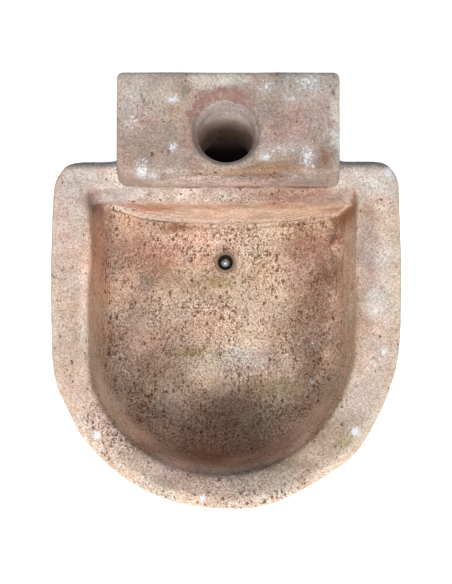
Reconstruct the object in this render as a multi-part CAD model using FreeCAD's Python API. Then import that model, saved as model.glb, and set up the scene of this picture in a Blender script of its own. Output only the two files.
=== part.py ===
"""Garden wall fountain: a D-shaped terracotta basin with a bored block behind it and a plugged floor drain.

Frame: origin on the ground under the middle of the overall box, +X to the right as the fountain is faced,
+Y towards the wall behind it, +Z up. All sizes are in millimetres.
"""
import FreeCAD
import Part

import math
import os

from FreeCAD import Vector

# Basin, outside
basin_width = 560.0
basin_depth = 556.0            # front of the bowl to the back of its rim
front_bow = 260.0              # how far the bowed front stands out from the straight sides
back_corner_radius = 40.0      # in plan
taper = 18.0                   # how far the outside leans in on each side, rim to ground
rim_round = 13.0               # outer edge of the rim
foot_round = 7.0               # outer edge at the ground

# Bowl
bowl_depth = 180.0             # rim to floor
side_rim_width = 67.0          # mean of the left and right rims
bowl_shift = -6.0              # the bowl lies a little to the left, so its right rim is the wider one
front_rim_width = 56.0
back_rim_width = 44.5
bowl_corner_radius = 9.0
side_draft = 7.0               # what each side wall leans in by, rim to floor
front_draft = 14.0             # the same at the front
back_draft = 2.0               # the same at the back
side_cove = 18.0               # radius of the hollow between side wall and floor
front_cove = 46.0              # the same at the front
shoulder_drop = 30.0           # bevel below the back rim, downwards
shoulder_run = 20.5            # and forwards
back_bulge = 13.0              # how far the foot of the back wall bows into the bowl
inner_rim_round = 4.0
cove_sections = 5              # outlines that the cove is drawn through

# Hollow foot and service channel
foot_height = 50.0             # ground to the underside of the floor
floor_thickness = 50.0
foot_wall = 60.0               # sides of the ring that the basin stands on
foot_front_wall = 66.0
foot_back_wall = 38.0
foot_corner_radius = 30.0
hollow_round = 10.0            # edge between the foot's hollow and the underside of the floor
channel_width = 110.0          # opening under the pedestal for the pipes
channel_height = 45.0

# Pedestal, bed and block
block_width = 335.0            # across the top
block_depth = 162.5            # front of the block's foot to the wall
block_flare = 7.5              # how much wider each side is at its foot
block_offset = 3.0             # the block stands a little to the right
block_rise = 80.0              # rim to block top, with the bed
block_batter = 10.0            # lean of the front face
block_edge_round = 8.0         # upright edges
worn_edge_round = 18.0         # the front left one is worn
block_top_round = 6.0
bed_thickness = 3.0
bed_setback = 2.5              # the joint is raked out by this all round
bore_diameter = 90.0
mouth_diameter = 108.0
mouth_depth = 28.0
mouth_front_wall = 10.0        # clay between the mouth and the front of the block's top
pedestal_bore_gap = 2.0        # the pedestal's bore is wider, so that the block can be bedded a little off

# Drain
drain_x = -1.0
drain_setback = 106.0          # drain axis to the inner edge of the back rim
flange_diameter = 36.0
flange_thickness = 3.0
flange_step = 1.0              # flange top below the floor
flange_gap = 0.5               # around the flange in its recess
seal_thickness = 1.5
neck_diameter = 29.0
neck_depth = 12.0              # flange top to the end of the neck
hole_gap = 0.5                 # around the neck and the tail in the clay
tail_diameter = 20.955         # half-inch pipe thread, outside
tail_bore = 15.0
thread_below_nut = 4.5
spigot_diameter = 19.0         # plain end of the tail, for a hose
spigot_length = 22.0
spigot_lead = 0.8              # chamfer at its end
mouth_top_diameter = 24.6      # the fitting's tapered mouth
mouth_seat_diameter = 17.6
mouth_seat_depth = 8.5
thread_clearance = 0.05        # nut and washer on the tail, on the radius
washer_diameter = 34.0
washer_thickness = 2.5
nut_across_flats = 30.0
nut_thickness = 9.0
nut_chamfer = 1.2

# Plug
plug_head_diameter = 16.5
plug_dome_rise = 5.0
plug_skirt = 1.2               # straight edge of the head, below the dome
plug_stem_length = 9.0
plug_clearance = 0.3           # plug to its seat

# Places that follow from the sizes above
floor_z = foot_height + floor_thickness
basin_height = floor_z + bowl_depth             # ground to rim
overall_depth = basin_depth - back_rim_width + block_depth
front_y = -overall_depth / 2
wall_y = overall_depth / 2
basin_back_y = front_y + basin_depth
bow_y = front_y + front_bow                     # the sides end and the bowed front starts here
bowl_back_y = basin_back_y - back_rim_width
bowl_half = basin_width / 2 - side_rim_width
bowl_bow = front_bow - front_rim_width
hollow_back_y = basin_back_y - taper - foot_back_wall
bed_top_z = basin_height + bed_thickness
block_top_z = basin_height + block_rise
mouth_end_z = block_top_z - mouth_depth
bore_y = bowl_back_y + block_batter + mouth_front_wall + mouth_diameter / 2
drain_y = bowl_back_y - drain_setback
flange_top_z = floor_z - flange_step
flange_low_z = flange_top_z - flange_thickness
seal_low_z = flange_low_z - seal_thickness
neck_end_z = flange_top_z - neck_depth
seat_z = flange_top_z - mouth_seat_depth
washer_low_z = foot_height - washer_thickness
nut_low_z = washer_low_z - nut_thickness
spigot_top_z = nut_low_z - thread_below_nut
tail_end_z = spigot_top_z - spigot_length
overcut = 2.0                                   # how far a cutting tool runs past the face it opens


def arc_edge(start, middle, end):
    """Return a circular arc through three points."""
    return Part.Arc(start, middle, end).toShape()


def arc_about(centre, radius, start, end):
    """Return the arc about a centre from one angle to another, in degrees from +X."""
    points = [
        centre + Vector(radius * math.cos(turn), radius * math.sin(turn), 0)
        for turn in (math.radians(start), math.radians((start + end) / 2), math.radians(end))
    ]
    return arc_edge(*points)


def bowed_front(centre, half, bow, inset):
    """Return the bowed front from the right side round to the left one, as three arcs that meet smoothly.

    The side arcs bend as the ends of a half ellipse with this half width and bow would. inset moves all
    three inwards about their own centres.
    """
    sweep = bow ** 2 / half
    if math.isclose(half, bow):
        setback, turn = 0.0, 45.0
    else:
        setback = ((half - sweep) ** 2 - (bow - sweep) ** 2) / (2 * (bow - sweep))
        turn = math.degrees(math.atan2(abs(half - sweep), abs(setback)))
    aside, astern = Vector(half - sweep, 0, 0), Vector(0, setback, 0)
    return [
        arc_about(centre + aside, sweep - inset, 0, turn - 90),
        arc_about(centre + astern, bow + setback - inset, turn - 90, -90 - turn),
        arc_about(centre - aside, sweep - inset, -90 - turn, -180),
    ]


def d_outline(z, half, back, bow, corner, centre_x=0.0, bulge=0.0, inset=0.0):
    """Return a closed D at height z: a back edge, two corners, two straight sides and the bowed front.

    half is the half width, back the y of the back edge, bow how far the front stands out from the sides,
    bulge how far the middle of the back edge comes forwards, and inset how far all of it is moved inwards.
    """
    left, right = centre_x - half, centre_x + half
    corner_left = Vector(left + corner, back - corner, z)
    corner_right = Vector(right - corner, back - corner, z)
    back_left, back_right = (point + Vector(0, corner - inset, 0) for point in (corner_left, corner_right))
    if bulge:
        back_edge = arc_edge(back_left, Vector(centre_x, back - inset - bulge, z), back_right)
    else:
        back_edge = Part.makeLine(back_left, back_right)
    edges = [
        back_edge,
        arc_about(corner_right, corner - inset, 90, 0),
        Part.makeLine(Vector(right - inset, back - corner, z), Vector(right - inset, bow_y, z)),
        *bowed_front(Vector(centre_x, bow_y, z), half, bow, inset),
        Part.makeLine(Vector(left + inset, bow_y, z), Vector(left + inset, back - corner, z)),
        arc_about(corner_left, corner - inset, 180, 90),
    ]
    return Part.Wire(Part.__sortEdges__(edges))


def box_between(low, high):
    """Return the box between two corner points."""
    size = high - low
    return Part.makeBox(size.x, size.y, size.z, low)


def upright_cylinder(x, y, low_z, high_z, diameter):
    """Return a cylinder about the upright through x, y."""
    return Part.makeCylinder(diameter / 2, high_z - low_z, Vector(x, y, low_z))


def upright_cone(x, y, low_z, high_z, low_diameter, high_diameter):
    """Return the frustum of a cone about the upright through x, y."""
    return Part.makeCone(low_diameter / 2, high_diameter / 2, high_z - low_z, Vector(x, y, low_z))


def turned(edges, x, y):
    """Return the solid that a profile of edges beside the upright at 0, 0 sweeps about the one at x, y."""
    solid = Part.Face(Part.Wire(edges)).revolve(Vector(0, 0, 0), Vector(0, 0, 1), 360)
    solid.translate(Vector(x, y, 0))
    return solid


def profile_edges(points):
    """Return the straight edges through a list of (radius, height) points, left open."""
    places = [Vector(radius, 0, height) for radius, height in points]
    return [Part.makeLine(start, end) for start, end in zip(places, places[1:])]


def level_edges(shape, z):
    """Return the edges of a shape that lie flat at height z."""
    slack = 0.01
    return [
        edge for edge in shape.Edges
        if abs(edge.BoundBox.ZMin - z) < slack and abs(edge.BoundBox.ZMax - z) < slack
    ]


def bowl_rim_edges(shape):
    """Return the edges where the bowl's walls meet the flat rim, without those under the block."""
    reach = bowl_half + abs(bowl_shift) + overcut
    return [
        edge for edge in level_edges(shape, basin_height)
        if edge.BoundBox.XMax < reach and edge.BoundBox.XMin > -reach
        and edge.BoundBox.YMax < bowl_back_y + overcut
    ]


def upright_edges(shape):
    """Return the edges of a shape that climb through nearly all its height."""
    return [edge for edge in shape.Edges if edge.BoundBox.ZLength > 0.9 * shape.BoundBox.ZLength]


def make_shell_body():
    """Return the basin's outer body: a D that narrows to the ground, rounded at the rim and the foot."""
    sizes = (basin_width / 2, basin_back_y, front_bow, back_corner_radius)
    foot, rim = d_outline(0.0, *sizes, inset=taper), d_outline(basin_height, *sizes)
    body = Part.makeLoft([foot, rim], True, True)
    body = body.makeFillet(rim_round, level_edges(body, basin_height))
    return body.makeFillet(foot_round, level_edges(body, 0.0))


def make_pedestal():
    """Return the upright behind the bowl, which carries the block and stands against the wall."""
    half = block_width / 2 + block_flare
    low = Vector(block_offset - half, basin_back_y - back_rim_width / 2, 0)
    box = box_between(low, Vector(block_offset + half, wall_y, basin_height))
    rear = [edge for edge in upright_edges(box) if edge.BoundBox.YMin > basin_back_y]
    return box.makeFillet(block_edge_round, rear)


def cove_inset(rise, radius):
    """Return how far a cove of this radius stands in from its wall, at a height above the floor."""
    if rise >= radius:
        return 0.0
    return radius - math.sqrt(radius ** 2 - (radius - rise) ** 2)


def bowl_outline(rise):
    """Return the bowl's inner outline at a height above its floor."""
    depth_share = 1 - rise / bowl_depth
    side = side_draft * depth_share + cove_inset(rise * side_cove / front_cove, side_cove)
    front = front_draft * depth_share + cove_inset(rise, front_cove)
    shoulder_share = min(1.0, (bowl_depth - rise) / shoulder_drop)
    back = bowl_back_y - shoulder_run * shoulder_share - back_draft * depth_share
    return d_outline(
        floor_z + rise, bowl_half - side, back, bowl_bow - front, bowl_corner_radius,
        bowl_shift, back_bulge * depth_share,
    )


def make_bowl_space():
    """Return the space inside the bowl: the cove over the floor, the walls and the bevelled back shoulder."""
    steps = cove_sections - 1
    cove = [bowl_outline(front_cove * (1 - math.cos(0.5 * math.pi * k / steps))) for k in range(cove_sections)]
    shoulder = bowl_outline(bowl_depth - shoulder_drop)
    space = Part.makeLoft(cove, True, False)
    space = space.fuse(Part.makeLoft([cove[-1], shoulder], True, True))
    return space.fuse(Part.makeLoft([shoulder, bowl_outline(bowl_depth)], True, True))


def make_foot_space():
    """Return the hollow under the floor and the channel from it to the back."""
    outline = d_outline(
        -overcut, basin_width / 2 - taper - foot_wall, hollow_back_y, front_bow - taper - foot_front_wall,
        foot_corner_radius,
    )
    hollow = Part.Face(outline).extrude(Vector(0, 0, foot_height + overcut))
    hollow = hollow.makeFillet(hollow_round, level_edges(hollow, foot_height))
    half = channel_width / 2
    near = Vector(-half, hollow_back_y - hollow_round, -overcut)
    return hollow.fuse(box_between(near, Vector(half, wall_y + overcut, channel_height)))


def make_drain_hole():
    """Return the stepped hole through the floor for the drain fitting."""
    gap = 2 * hole_gap
    recess = upright_cylinder(drain_x, drain_y, seal_low_z, floor_z + overcut, flange_diameter + 2 * flange_gap)
    neck = upright_cylinder(drain_x, drain_y, neck_end_z - hole_gap, floor_z, neck_diameter + gap)
    tail = upright_cylinder(drain_x, drain_y, foot_height - overcut, floor_z, tail_diameter + gap)
    return recess.fuse([neck, tail])


def make_basin():
    """Return the terracotta basin: bowl, rim, hollow foot and pedestal in one piece."""
    basin = make_shell_body().fuse(make_pedestal())
    basin = basin.cut(make_bowl_space())
    basin = basin.makeFillet(inner_rim_round, bowl_rim_edges(basin))
    basin = basin.cut(make_foot_space())
    basin = basin.cut(make_drain_hole())
    bore = upright_cylinder(0, bore_y, 0, basin_height + overcut, bore_diameter + 2 * pedestal_bore_gap)
    return basin.cut(bore).removeSplitter()


def block_outline(z, front, spread, inset=0.0):
    """Return the block's outline at height z, with its rounded corners; inset moves all of it inwards.

    front is the y of the front edge, and spread what each side adds to the width at the top.
    """
    half = block_width / 2 + spread
    left, right = block_offset - half, block_offset + half
    corners = [
        (left, front, 1, 1, 270, 180, worn_edge_round),
        (left, wall_y, 1, -1, 180, 90, block_edge_round),
        (right, wall_y, -1, -1, 90, 0, block_edge_round),
        (right, front, -1, 1, 0, -90, block_edge_round),
    ]
    arcs = [
        arc_about(Vector(x + to_x * radius, y + to_y * radius, z), radius - inset, start, end)
        for x, y, to_x, to_y, start, end, radius in corners
    ]
    sides = [
        Part.makeLine(arc.valueAt(arc.LastParameter), following.valueAt(following.FirstParameter))
        for arc, following in zip(arcs, arcs[1:] + arcs[:1])
    ]
    return Part.Wire(Part.__sortEdges__(arcs + sides))


def make_bedding_mortar():
    """Return the bed between pedestal and block, raked out at its outside and around the bore."""
    outline = block_outline(basin_height, bowl_back_y, block_flare, bed_setback)
    bed = Part.Face(outline).extrude(Vector(0, 0, bed_thickness))
    return bed.cut(upright_cylinder(0, bore_y, basin_height, bed_top_z, bore_diameter + 2 * bed_setback))


def make_mouth_space():
    """Return the space of the bore's mouth, which curves out of the bore like the bell of a trumpet."""
    bore, mouth = bore_diameter / 2, mouth_diameter / 2
    flare = mouth - bore
    curve_radius = (flare ** 2 + mouth_depth ** 2) / (2 * flare)
    half_turn = 0.5 * math.asin(mouth_depth / curve_radius)
    middle = Vector(
        bore + curve_radius * (1 - math.cos(half_turn)), 0, mouth_end_z + curve_radius * math.sin(half_turn),
    )
    curve = arc_edge(Vector(bore, 0, mouth_end_z), middle, Vector(mouth, 0, block_top_z))
    sides = profile_edges([(mouth, block_top_z), (0, block_top_z), (0, mouth_end_z), (bore, mouth_end_z)])
    return turned([curve, *sides], 0, bore_y)


def make_pipe_block():
    """Return the block: battered front, rounded edges, and a bore that flares towards its mouth."""
    foot = block_outline(bed_top_z, bowl_back_y, block_flare)
    top = block_outline(block_top_z, bowl_back_y + block_batter, 0.0)
    block = Part.makeLoft([foot, top], True, True)
    block = block.makeFillet(block_top_round, level_edges(block, block_top_z))
    bore = upright_cylinder(0, bore_y, bed_top_z, block_top_z, bore_diameter)
    return block.cut(bore).cut(make_mouth_space())


def make_drain_tail():
    """Return the turned drain fitting: flange, tapered mouth, neck, threaded tail and hose spigot."""
    flange, neck, tail, spigot = (
        size / 2 for size in (flange_diameter, neck_diameter, tail_diameter, spigot_diameter)
    )
    mouth, seat, bore = mouth_top_diameter / 2, mouth_seat_diameter / 2, tail_bore / 2
    profile = profile_edges([
        (mouth, flange_top_z), (flange, flange_top_z), (flange, flange_low_z), (neck, flange_low_z),
        (neck, neck_end_z), (tail, neck_end_z), (tail, spigot_top_z), (spigot, spigot_top_z),
        (spigot, tail_end_z + spigot_lead), (spigot - spigot_lead, tail_end_z), (bore, tail_end_z),
        (bore, seat_z - (seat - bore)), (seat, seat_z), (mouth, flange_top_z),
    ])
    return turned(profile, drain_x, drain_y)


def drain_ring(low_z, high_z, outer_diameter, inner_diameter):
    """Return a plain ring about the drain's axis."""
    ring = upright_cylinder(drain_x, drain_y, low_z, high_z, outer_diameter)
    return ring.cut(upright_cylinder(drain_x, drain_y, low_z, high_z, inner_diameter))


def make_drain_seal():
    """Return the putty ring that the flange is bedded on."""
    return drain_ring(seal_low_z, flange_low_z, flange_diameter, neck_diameter + 2 * thread_clearance)


def make_drain_washer():
    """Return the washer between the floor's underside and the nut."""
    return drain_ring(washer_low_z, foot_height, washer_diameter, tail_diameter + 2 * thread_clearance)


def make_drain_backnut():
    """Return the hexagonal nut, with its corners chamfered at the lower face."""
    corner = nut_across_flats / math.sqrt(3)
    points = [
        Vector(drain_x + corner * math.cos(math.radians(turn)), drain_y + corner * math.sin(math.radians(turn)),
               nut_low_z)
        for turn in range(0, 420, 60)
    ]
    nut = Part.Face(Part.makePolygon(points)).extrude(Vector(0, 0, nut_thickness))
    low_diameter = nut_across_flats - nut_chamfer
    slope = (2 * corner - low_diameter) / nut_chamfer
    cone = upright_cone(drain_x, drain_y, nut_low_z, washer_low_z, low_diameter,
                        low_diameter + slope * nut_thickness)
    hole = upright_cylinder(drain_x, drain_y, nut_low_z, washer_low_z, tail_diameter + 2 * thread_clearance)
    return nut.common(cone).cut(hole)


def make_drain_plug():
    """Return the domed plug: its head stands just over the 45 degree seat, its stem inside the tail's bore."""
    head, seat = plug_head_diameter / 2, mouth_seat_diameter / 2
    stem = tail_bore / 2 - plug_clearance
    under_z = seat_z - (seat - head) + math.sqrt(2) * plug_clearance
    skirt_z = under_z + plug_skirt
    crown_z = skirt_z + plug_dome_rise
    stem_z = under_z - plug_stem_length
    dome_radius = (head ** 2 + plug_dome_rise ** 2) / (2 * plug_dome_rise)
    half_turn = 0.5 * math.asin(head / dome_radius)
    middle = Vector(dome_radius * math.sin(half_turn), 0, crown_z - dome_radius * (1 - math.cos(half_turn)))
    dome = arc_edge(Vector(0, 0, crown_z), middle, Vector(head, 0, skirt_z))
    sides = profile_edges([
        (head, skirt_z), (head, under_z), (stem, under_z - (head - stem)), (stem, stem_z), (0, stem_z),
        (0, crown_z),
    ])
    return turned([dome, *sides], drain_x, drain_y)


makers = {
    "basin": make_basin,
    "bedding_mortar": make_bedding_mortar,
    "pipe_block": make_pipe_block,
    "drain_tail": make_drain_tail,
    "drain_seal": make_drain_seal,
    "drain_washer": make_drain_washer,
    "drain_backnut": make_drain_backnut,
    "drain_plug": make_drain_plug,
}


def main():
    """Make each piece, report its volume and write its STEP file."""
    os.makedirs("parts", exist_ok=True)
    for name, maker in makers.items():
        shape = maker()
        print(f"{name}: {shape.Volume / 1e3:.1f} cm3, {len(shape.Solids)} solid, valid {shape.isValid()}")
        shape.exportStep(f"parts/{name}.step")


main()
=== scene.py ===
"""Looks of the garden wall fountain: an old clay basin, the bored pipe block bedded behind it, and its drain.

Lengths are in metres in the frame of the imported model: +X is right as the fountain is faced, +Y goes
towards the wall behind it, and +Z is up.
"""

import logging
import math
from dataclasses import dataclass, field
from enum import Enum

import bmesh
import bpy
import numpy as np
from bpy.types import Material, Mesh, Node, NodeSocket, NodeTree, Object
from mathutils import Matrix, Vector

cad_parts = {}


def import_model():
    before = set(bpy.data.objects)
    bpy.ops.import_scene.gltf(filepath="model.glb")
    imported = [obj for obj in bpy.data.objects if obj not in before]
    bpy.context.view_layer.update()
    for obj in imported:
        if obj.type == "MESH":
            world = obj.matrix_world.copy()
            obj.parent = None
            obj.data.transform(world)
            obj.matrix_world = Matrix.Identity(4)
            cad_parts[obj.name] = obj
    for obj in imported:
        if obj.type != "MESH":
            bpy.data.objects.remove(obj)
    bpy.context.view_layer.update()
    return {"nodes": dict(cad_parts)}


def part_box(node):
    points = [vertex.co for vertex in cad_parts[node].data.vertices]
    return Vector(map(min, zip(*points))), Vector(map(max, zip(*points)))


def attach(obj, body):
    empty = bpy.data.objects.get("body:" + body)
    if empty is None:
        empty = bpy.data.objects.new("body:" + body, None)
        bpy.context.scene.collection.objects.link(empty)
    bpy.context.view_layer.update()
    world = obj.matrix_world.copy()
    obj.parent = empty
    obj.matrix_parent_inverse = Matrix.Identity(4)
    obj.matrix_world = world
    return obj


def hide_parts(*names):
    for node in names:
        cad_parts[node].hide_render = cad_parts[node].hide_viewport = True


log = logging.getLogger("garden_wall_fountain")

Triple = tuple[float, float, float]
Pair = tuple[float, float]
Values = np.ndarray


class Body(Enum):
    """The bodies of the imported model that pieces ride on."""

    FOUNTAIN = "fountain"
    PLUG = "plug"


class Mark(Enum):
    """Values that are painted on a clay mesh for its finish to read."""

    RIM = "rim"
    WALL = "wall"
    FLOOR = "floor"
    BACK = "back"
    SHOULDER = "shoulder"
    EDGE = "edge"
    CREASE = "crease"
    PITTED = "pitted"
    CALM = "calm"
    PEPPER = "pepper"
    LIME = "lime"
    STREAK = "streak"
    # Pale inside the bore: painted light that comes down it
    BORE = "bore"
    # Paler outer edge of the rim: wear, with painted light on the rounding
    OUTER = "outer"
    # Painted light in a band under the inner rim edge
    LEDGE = "ledge"
    # Painted highlight on the back wall's roll of clay and the right corner's fillet
    ROLL = "roll"
    # Painted shade in the bowl's right back corner
    NOOK = "nook"
    RUST = "rust"
    # Near-black soil, with painted shade, in the drain's mouth
    SOIL = "soil"


@dataclass
class TreePen:
    """Adds nodes to one shader or geometry tree and joins them up."""

    tree: NodeTree

    def feed(self, socket: NodeSocket, value: object) -> None:
        """Fill an input.

        Args:
            socket: The input.
            value: A socket to link from, or a plain value.
        """
        if isinstance(value, NodeSocket):
            self.tree.links.new(value, socket)
        elif socket.type == "RGBA" and len(value) == 3:
            socket.default_value = (*value, 1.0)
        else:
            socket.default_value = value

    def add(self, kind: str, feeds: dict | None = None, **options: object) -> Node:
        """Add a node.

        Args:
            kind: The node's type.
            feeds: What its inputs get, by name or number.
            options: The node's own settings.

        Returns:
            The node.
        """
        node = self.tree.nodes.new(kind)
        for name, value in options.items():
            setattr(node, name, value)
        for key, value in (feeds or {}).items():
            self.feed(node.inputs[key], value)
        return node

    def placed(self, group: NodeTree, feeds: dict) -> Node:
        """Place a shader group, with its inputs fed by name."""
        return self.add("ShaderNodeGroup", feeds, node_tree=group)

    def painted(self, mark: Mark) -> NodeSocket:
        """Return, in a material, a value that is painted on the mesh."""
        return self.add("ShaderNodeAttribute", attribute_name=mark.value).outputs["Fac"]

    def stored(self, mark: Mark) -> NodeSocket:
        """Return, in a geometry tree, a value that is painted on the mesh."""
        return self.add("GeometryNodeInputNamedAttribute", {0: mark.value}, data_type="FLOAT").outputs[0]

    def maths(self, operation: str, first: object, second: object = 0.0) -> NodeSocket:
        """Return what a Math node works out from one or two values."""
        return self.add("ShaderNodeMath", {0: first, 1: second}, operation=operation).outputs[0]

    def times(self, first: object, second: object) -> NodeSocket:
        """Return the product of two values."""
        return self.maths("MULTIPLY", first, second)

    def plus(self, first: object, second: object) -> NodeSocket:
        """Return the sum of two values."""
        return self.maths("ADD", first, second)

    def minus(self, first: object, second: object) -> NodeSocket:
        """Return the first value less the second."""
        return self.maths("SUBTRACT", first, second)

    def vectors(self, operation: str, first: object, second: object = (0.0, 0.0, 0.0)) -> NodeSocket:
        """Return the vector that a Vector Math node works out from one or two vectors."""
        return self.add("ShaderNodeVectorMath", {0: first, 1: second}, operation=operation).outputs[0]

    def remap(self, value: object, span: tuple, onto: Pair = (0.0, 1.0)) -> NodeSocket:
        """Carry a value smoothly from one span onto another."""
        feeds = {0: value, 1: span[0], 2: span[1], 3: onto[0], 4: onto[1]}
        return self.add("ShaderNodeMapRange", feeds, interpolation_type="SMOOTHSTEP").outputs[0]

    def blend(self, share: object, under: object, over: object, mode: str = "MIX") -> NodeSocket:
        """Lay a share of one colour over another, mixed in one of Blender's modes."""
        feeds = {0: share, 6: under, 7: over}
        return self.add("ShaderNodeMix", feeds, data_type="RGBA", blend_type=mode).outputs[2]

    def noise(self, where: object, scale: object, detail: float, roughness: float) -> Node:
        """Add a Noise Texture, with so many features to a metre. It puts out a value and a colour."""
        feeds = {"Vector": where, "Scale": scale, "Detail": detail, "Roughness": roughness}
        return self.add("ShaderNodeTexNoise", feeds)

    def cells(self, where: object, scale: object) -> Node:
        """Add a Voronoi Texture, with so many cells to a metre."""
        return self.add("ShaderNodeTexVoronoi", {"Vector": where, "Scale": scale})

    def parts(self, colour: object) -> tuple[NodeSocket, ...]:
        """Return the red, green and blue of a colour in a material."""
        return tuple(self.add("ShaderNodeSeparateColor", {0: colour}).outputs)

    def shaken(self, where: object, noise: NodeSocket, reach: Triple) -> NodeSocket:
        """Shift a point about by the colour of some noise, so that what is drawn there gets ragged edges."""
        wander = self.vectors("SUBTRACT", noise, (0.5, 0.5, 0.5))
        return self.vectors("ADD", where, self.vectors("MULTIPLY", wander, reach))


@dataclass
class GroupPlan:
    """Inputs and outputs of a node group, by name and socket type."""

    name: str
    inputs: dict[str, tuple[str, object]]
    outputs: dict[str, str]
    kind: str = "ShaderNodeTree"

    def open(self) -> tuple[TreePen, dict[str, NodeSocket], Node]:
        """Make the empty group.

        Returns:
            Its pen, the sockets of its inputs by name, and its output node.
        """
        tree = bpy.data.node_groups.new(self.name, self.kind)
        for name, (kind, value) in self.inputs.items():
            socket = tree.interface.new_socket(name=name, in_out="INPUT", socket_type=kind)
            if value is not None:
                socket.default_value = value
        for name, kind in self.outputs.items():
            tree.interface.new_socket(name=name, in_out="OUTPUT", socket_type=kind)
        pen = TreePen(tree)
        start = pen.add("NodeGroupInput")
        return pen, {name: start.outputs[name] for name in self.inputs}, pen.add("NodeGroupOutput")


FLOAT = "NodeSocketFloat"
VECTOR = "NodeSocketVector"
COLOUR = "NodeSocketColor"
MASK = {"Mask": FLOAT}


@dataclass(frozen=True)
class PitSize:
    """One size of pit: how fine, how many and how dark it is beside the others."""

    finer: float
    many: float
    dark: float


PIT_SIZES = (PitSize(1.7, 1.2, 0.75), PitSize(1.0, 0.8, 0.9), PitSize(0.6, 0.25, 1.0))


def grain_group() -> NodeTree:
    """Make the group of fired clay's grain.

    Returns:
        The group: slow tints, mottling, blotches and sand, all around a half, a mask of pits, and a height.
    """
    plan = GroupPlan(
        "clay_grain",
        {
            "Vector": (VECTOR, None), "Tint Scale": (FLOAT, 11.0), "Mottle Scale": (FLOAT, 34.0),
            "Sand Scale": (FLOAT, 560.0), "Pit Scale": (FLOAT, 300.0), "Pit Share": (FLOAT, 0.3),
        },
        {"Tint": COLOUR, "Mottle": FLOAT, "Blotch": FLOAT, "Sand": FLOAT, "Pits": FLOAT, "Height": FLOAT},
    )
    pen, ins, out = plan.open()
    where = ins["Vector"]
    tint = pen.noise(where, ins["Tint Scale"], 3.0, 0.6).outputs[1]
    mottle = pen.noise(where, ins["Mottle Scale"], 4.0, 0.62).outputs[0]
    blotch = pen.noise(where, pen.times(ins["Sand Scale"], 0.4), 2.0, 0.6).outputs[0]
    sand = pen.parts(pen.cells(where, ins["Sand Scale"]).outputs["Color"])[0]
    bend = pen.noise(where, pen.times(ins["Pit Scale"], 1.2), 2.0, 0.6).outputs[1]
    ragged = pen.vectors("MULTIPLY", pen.shaken(where, bend, (0.006,) * 3), (1.0, 0.6, 1.0))
    crowds = pen.parts(pen.noise(where, pen.times(ins["Mottle Scale"], 0.5), 3.0, 0.65).outputs[1])
    pits = 0.0
    for crowd, size in zip(crowds, PIT_SIZES):
        share = pen.times(pen.remap(crowd, (0.44, 0.58), (0.05, 2.8 * size.many)), ins["Pit Share"])
        layer = pit_layer(pen, ragged, pen.times(ins["Pit Scale"], size.finer), share)
        pits = pen.maths("MAXIMUM", pits, pen.times(layer, size.dark))
    rough = pen.plus(pen.times(sand, 0.25), blotch)
    for name, value in zip(plan.outputs, (tint, mottle, blotch, sand, pits, pen.minus(rough, pits))):
        pen.feed(out.inputs[name], value)
    return pen.tree


def pit_layer(pen: TreePen, where: object, scale: object, share: object) -> NodeSocket:
    """Scatter pits of one size.

    Args:
        pen: The tree.
        where: The point that they are read at.
        scale: Cells to a metre, each with room for one pit.
        share: How many of the cells have one.

    Returns:
        The mask, 1 in the middle of a pit.
    """
    cells = pen.cells(where, scale)
    chance = pen.parts(cells.outputs["Color"])
    reach = pen.remap(chance[1], (0.0, 1.0), (0.22, 0.6))
    near = pen.minus(reach, cells.outputs["Distance"])
    return pen.times(pen.maths("LESS_THAN", chance[0], share), pen.remap(near, (0.0, 0.2)))


def stain_group() -> NodeTree:
    """Make the group of a soft-edged stain round a place.

    Returns:
        The group, whose mask is 1 at the centre and 0 past the reach.
    """
    plan = GroupPlan(
        "stain",
        {"Vector": (VECTOR, None), "Centre": (VECTOR, None), "Reach": (VECTOR, (0.1, 0.1, 0.1)),
         "Softness": (FLOAT, 0.6)},
        MASK,
    )
    pen, ins, out = plan.open()
    share = pen.vectors("DIVIDE", pen.vectors("SUBTRACT", ins["Vector"], ins["Centre"]), ins["Reach"])
    distance = pen.add("ShaderNodeVectorMath", {0: share}, operation="LENGTH").outputs[1]
    pen.feed(out.inputs["Mask"], pen.remap(distance, (1.0, pen.minus(1.0, ins["Softness"]))))
    return pen.tree


def fleck_group() -> NodeTree:
    """Make the group of small scattered flecks.

    Returns:
        The group, whose mask is 1 on a fleck.
    """
    plan = GroupPlan(
        "flecks",
        {"Vector": (VECTOR, None), "Scale": (FLOAT, 60.0), "Share": (FLOAT, 0.02), "Size": (FLOAT, 0.2)},
        MASK,
    )
    pen, ins, out = plan.open()
    bend = pen.noise(ins["Vector"], pen.times(ins["Scale"], 2.5), 2.0, 0.6).outputs[1]
    bend = pen.vectors("DIVIDE", bend, (160.0,) * 3)
    cells = pen.cells(pen.vectors("ADD", ins["Vector"], bend), ins["Scale"])
    chance = pen.parts(cells.outputs["Color"])
    reach = pen.times(ins["Size"], pen.remap(chance[1], (0.0, 1.0), (0.5, 1.1)))
    near = pen.remap(pen.minus(reach, cells.outputs["Distance"]), (0.0, 0.12))
    pen.feed(out.inputs["Mask"], pen.times(pen.maths("LESS_THAN", chance[0], ins["Share"]), near))
    return pen.tree


def crust_group() -> NodeTree:
    """Make the group of a crust that breaks up where it thins out, such as lime.

    Returns:
        The group, whose mask grows from a thin haze with scattered crumbs to full cover as the amount does.
    """
    plan = GroupPlan(
        "crust",
        {"Vector": (VECTOR, None), "Scale": (FLOAT, 150.0), "Amount": (FLOAT, 0.5), "Haze": (FLOAT, 0.3)},
        MASK,
    )
    pen, ins, out = plan.open()
    crumbs = pen.noise(ins["Vector"], ins["Scale"], 4.0, 0.75).outputs[0]
    level = pen.plus(crumbs, pen.times(ins["Amount"], 0.42))
    crust = pen.times(pen.remap(level, (0.66, 0.76)), pen.remap(ins["Amount"], (0.0, 0.2)))
    haze = pen.times(ins["Amount"], ins["Haze"])
    pen.feed(out.inputs["Mask"], pen.maths("MAXIMUM", crust, haze))
    return pen.tree


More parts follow.
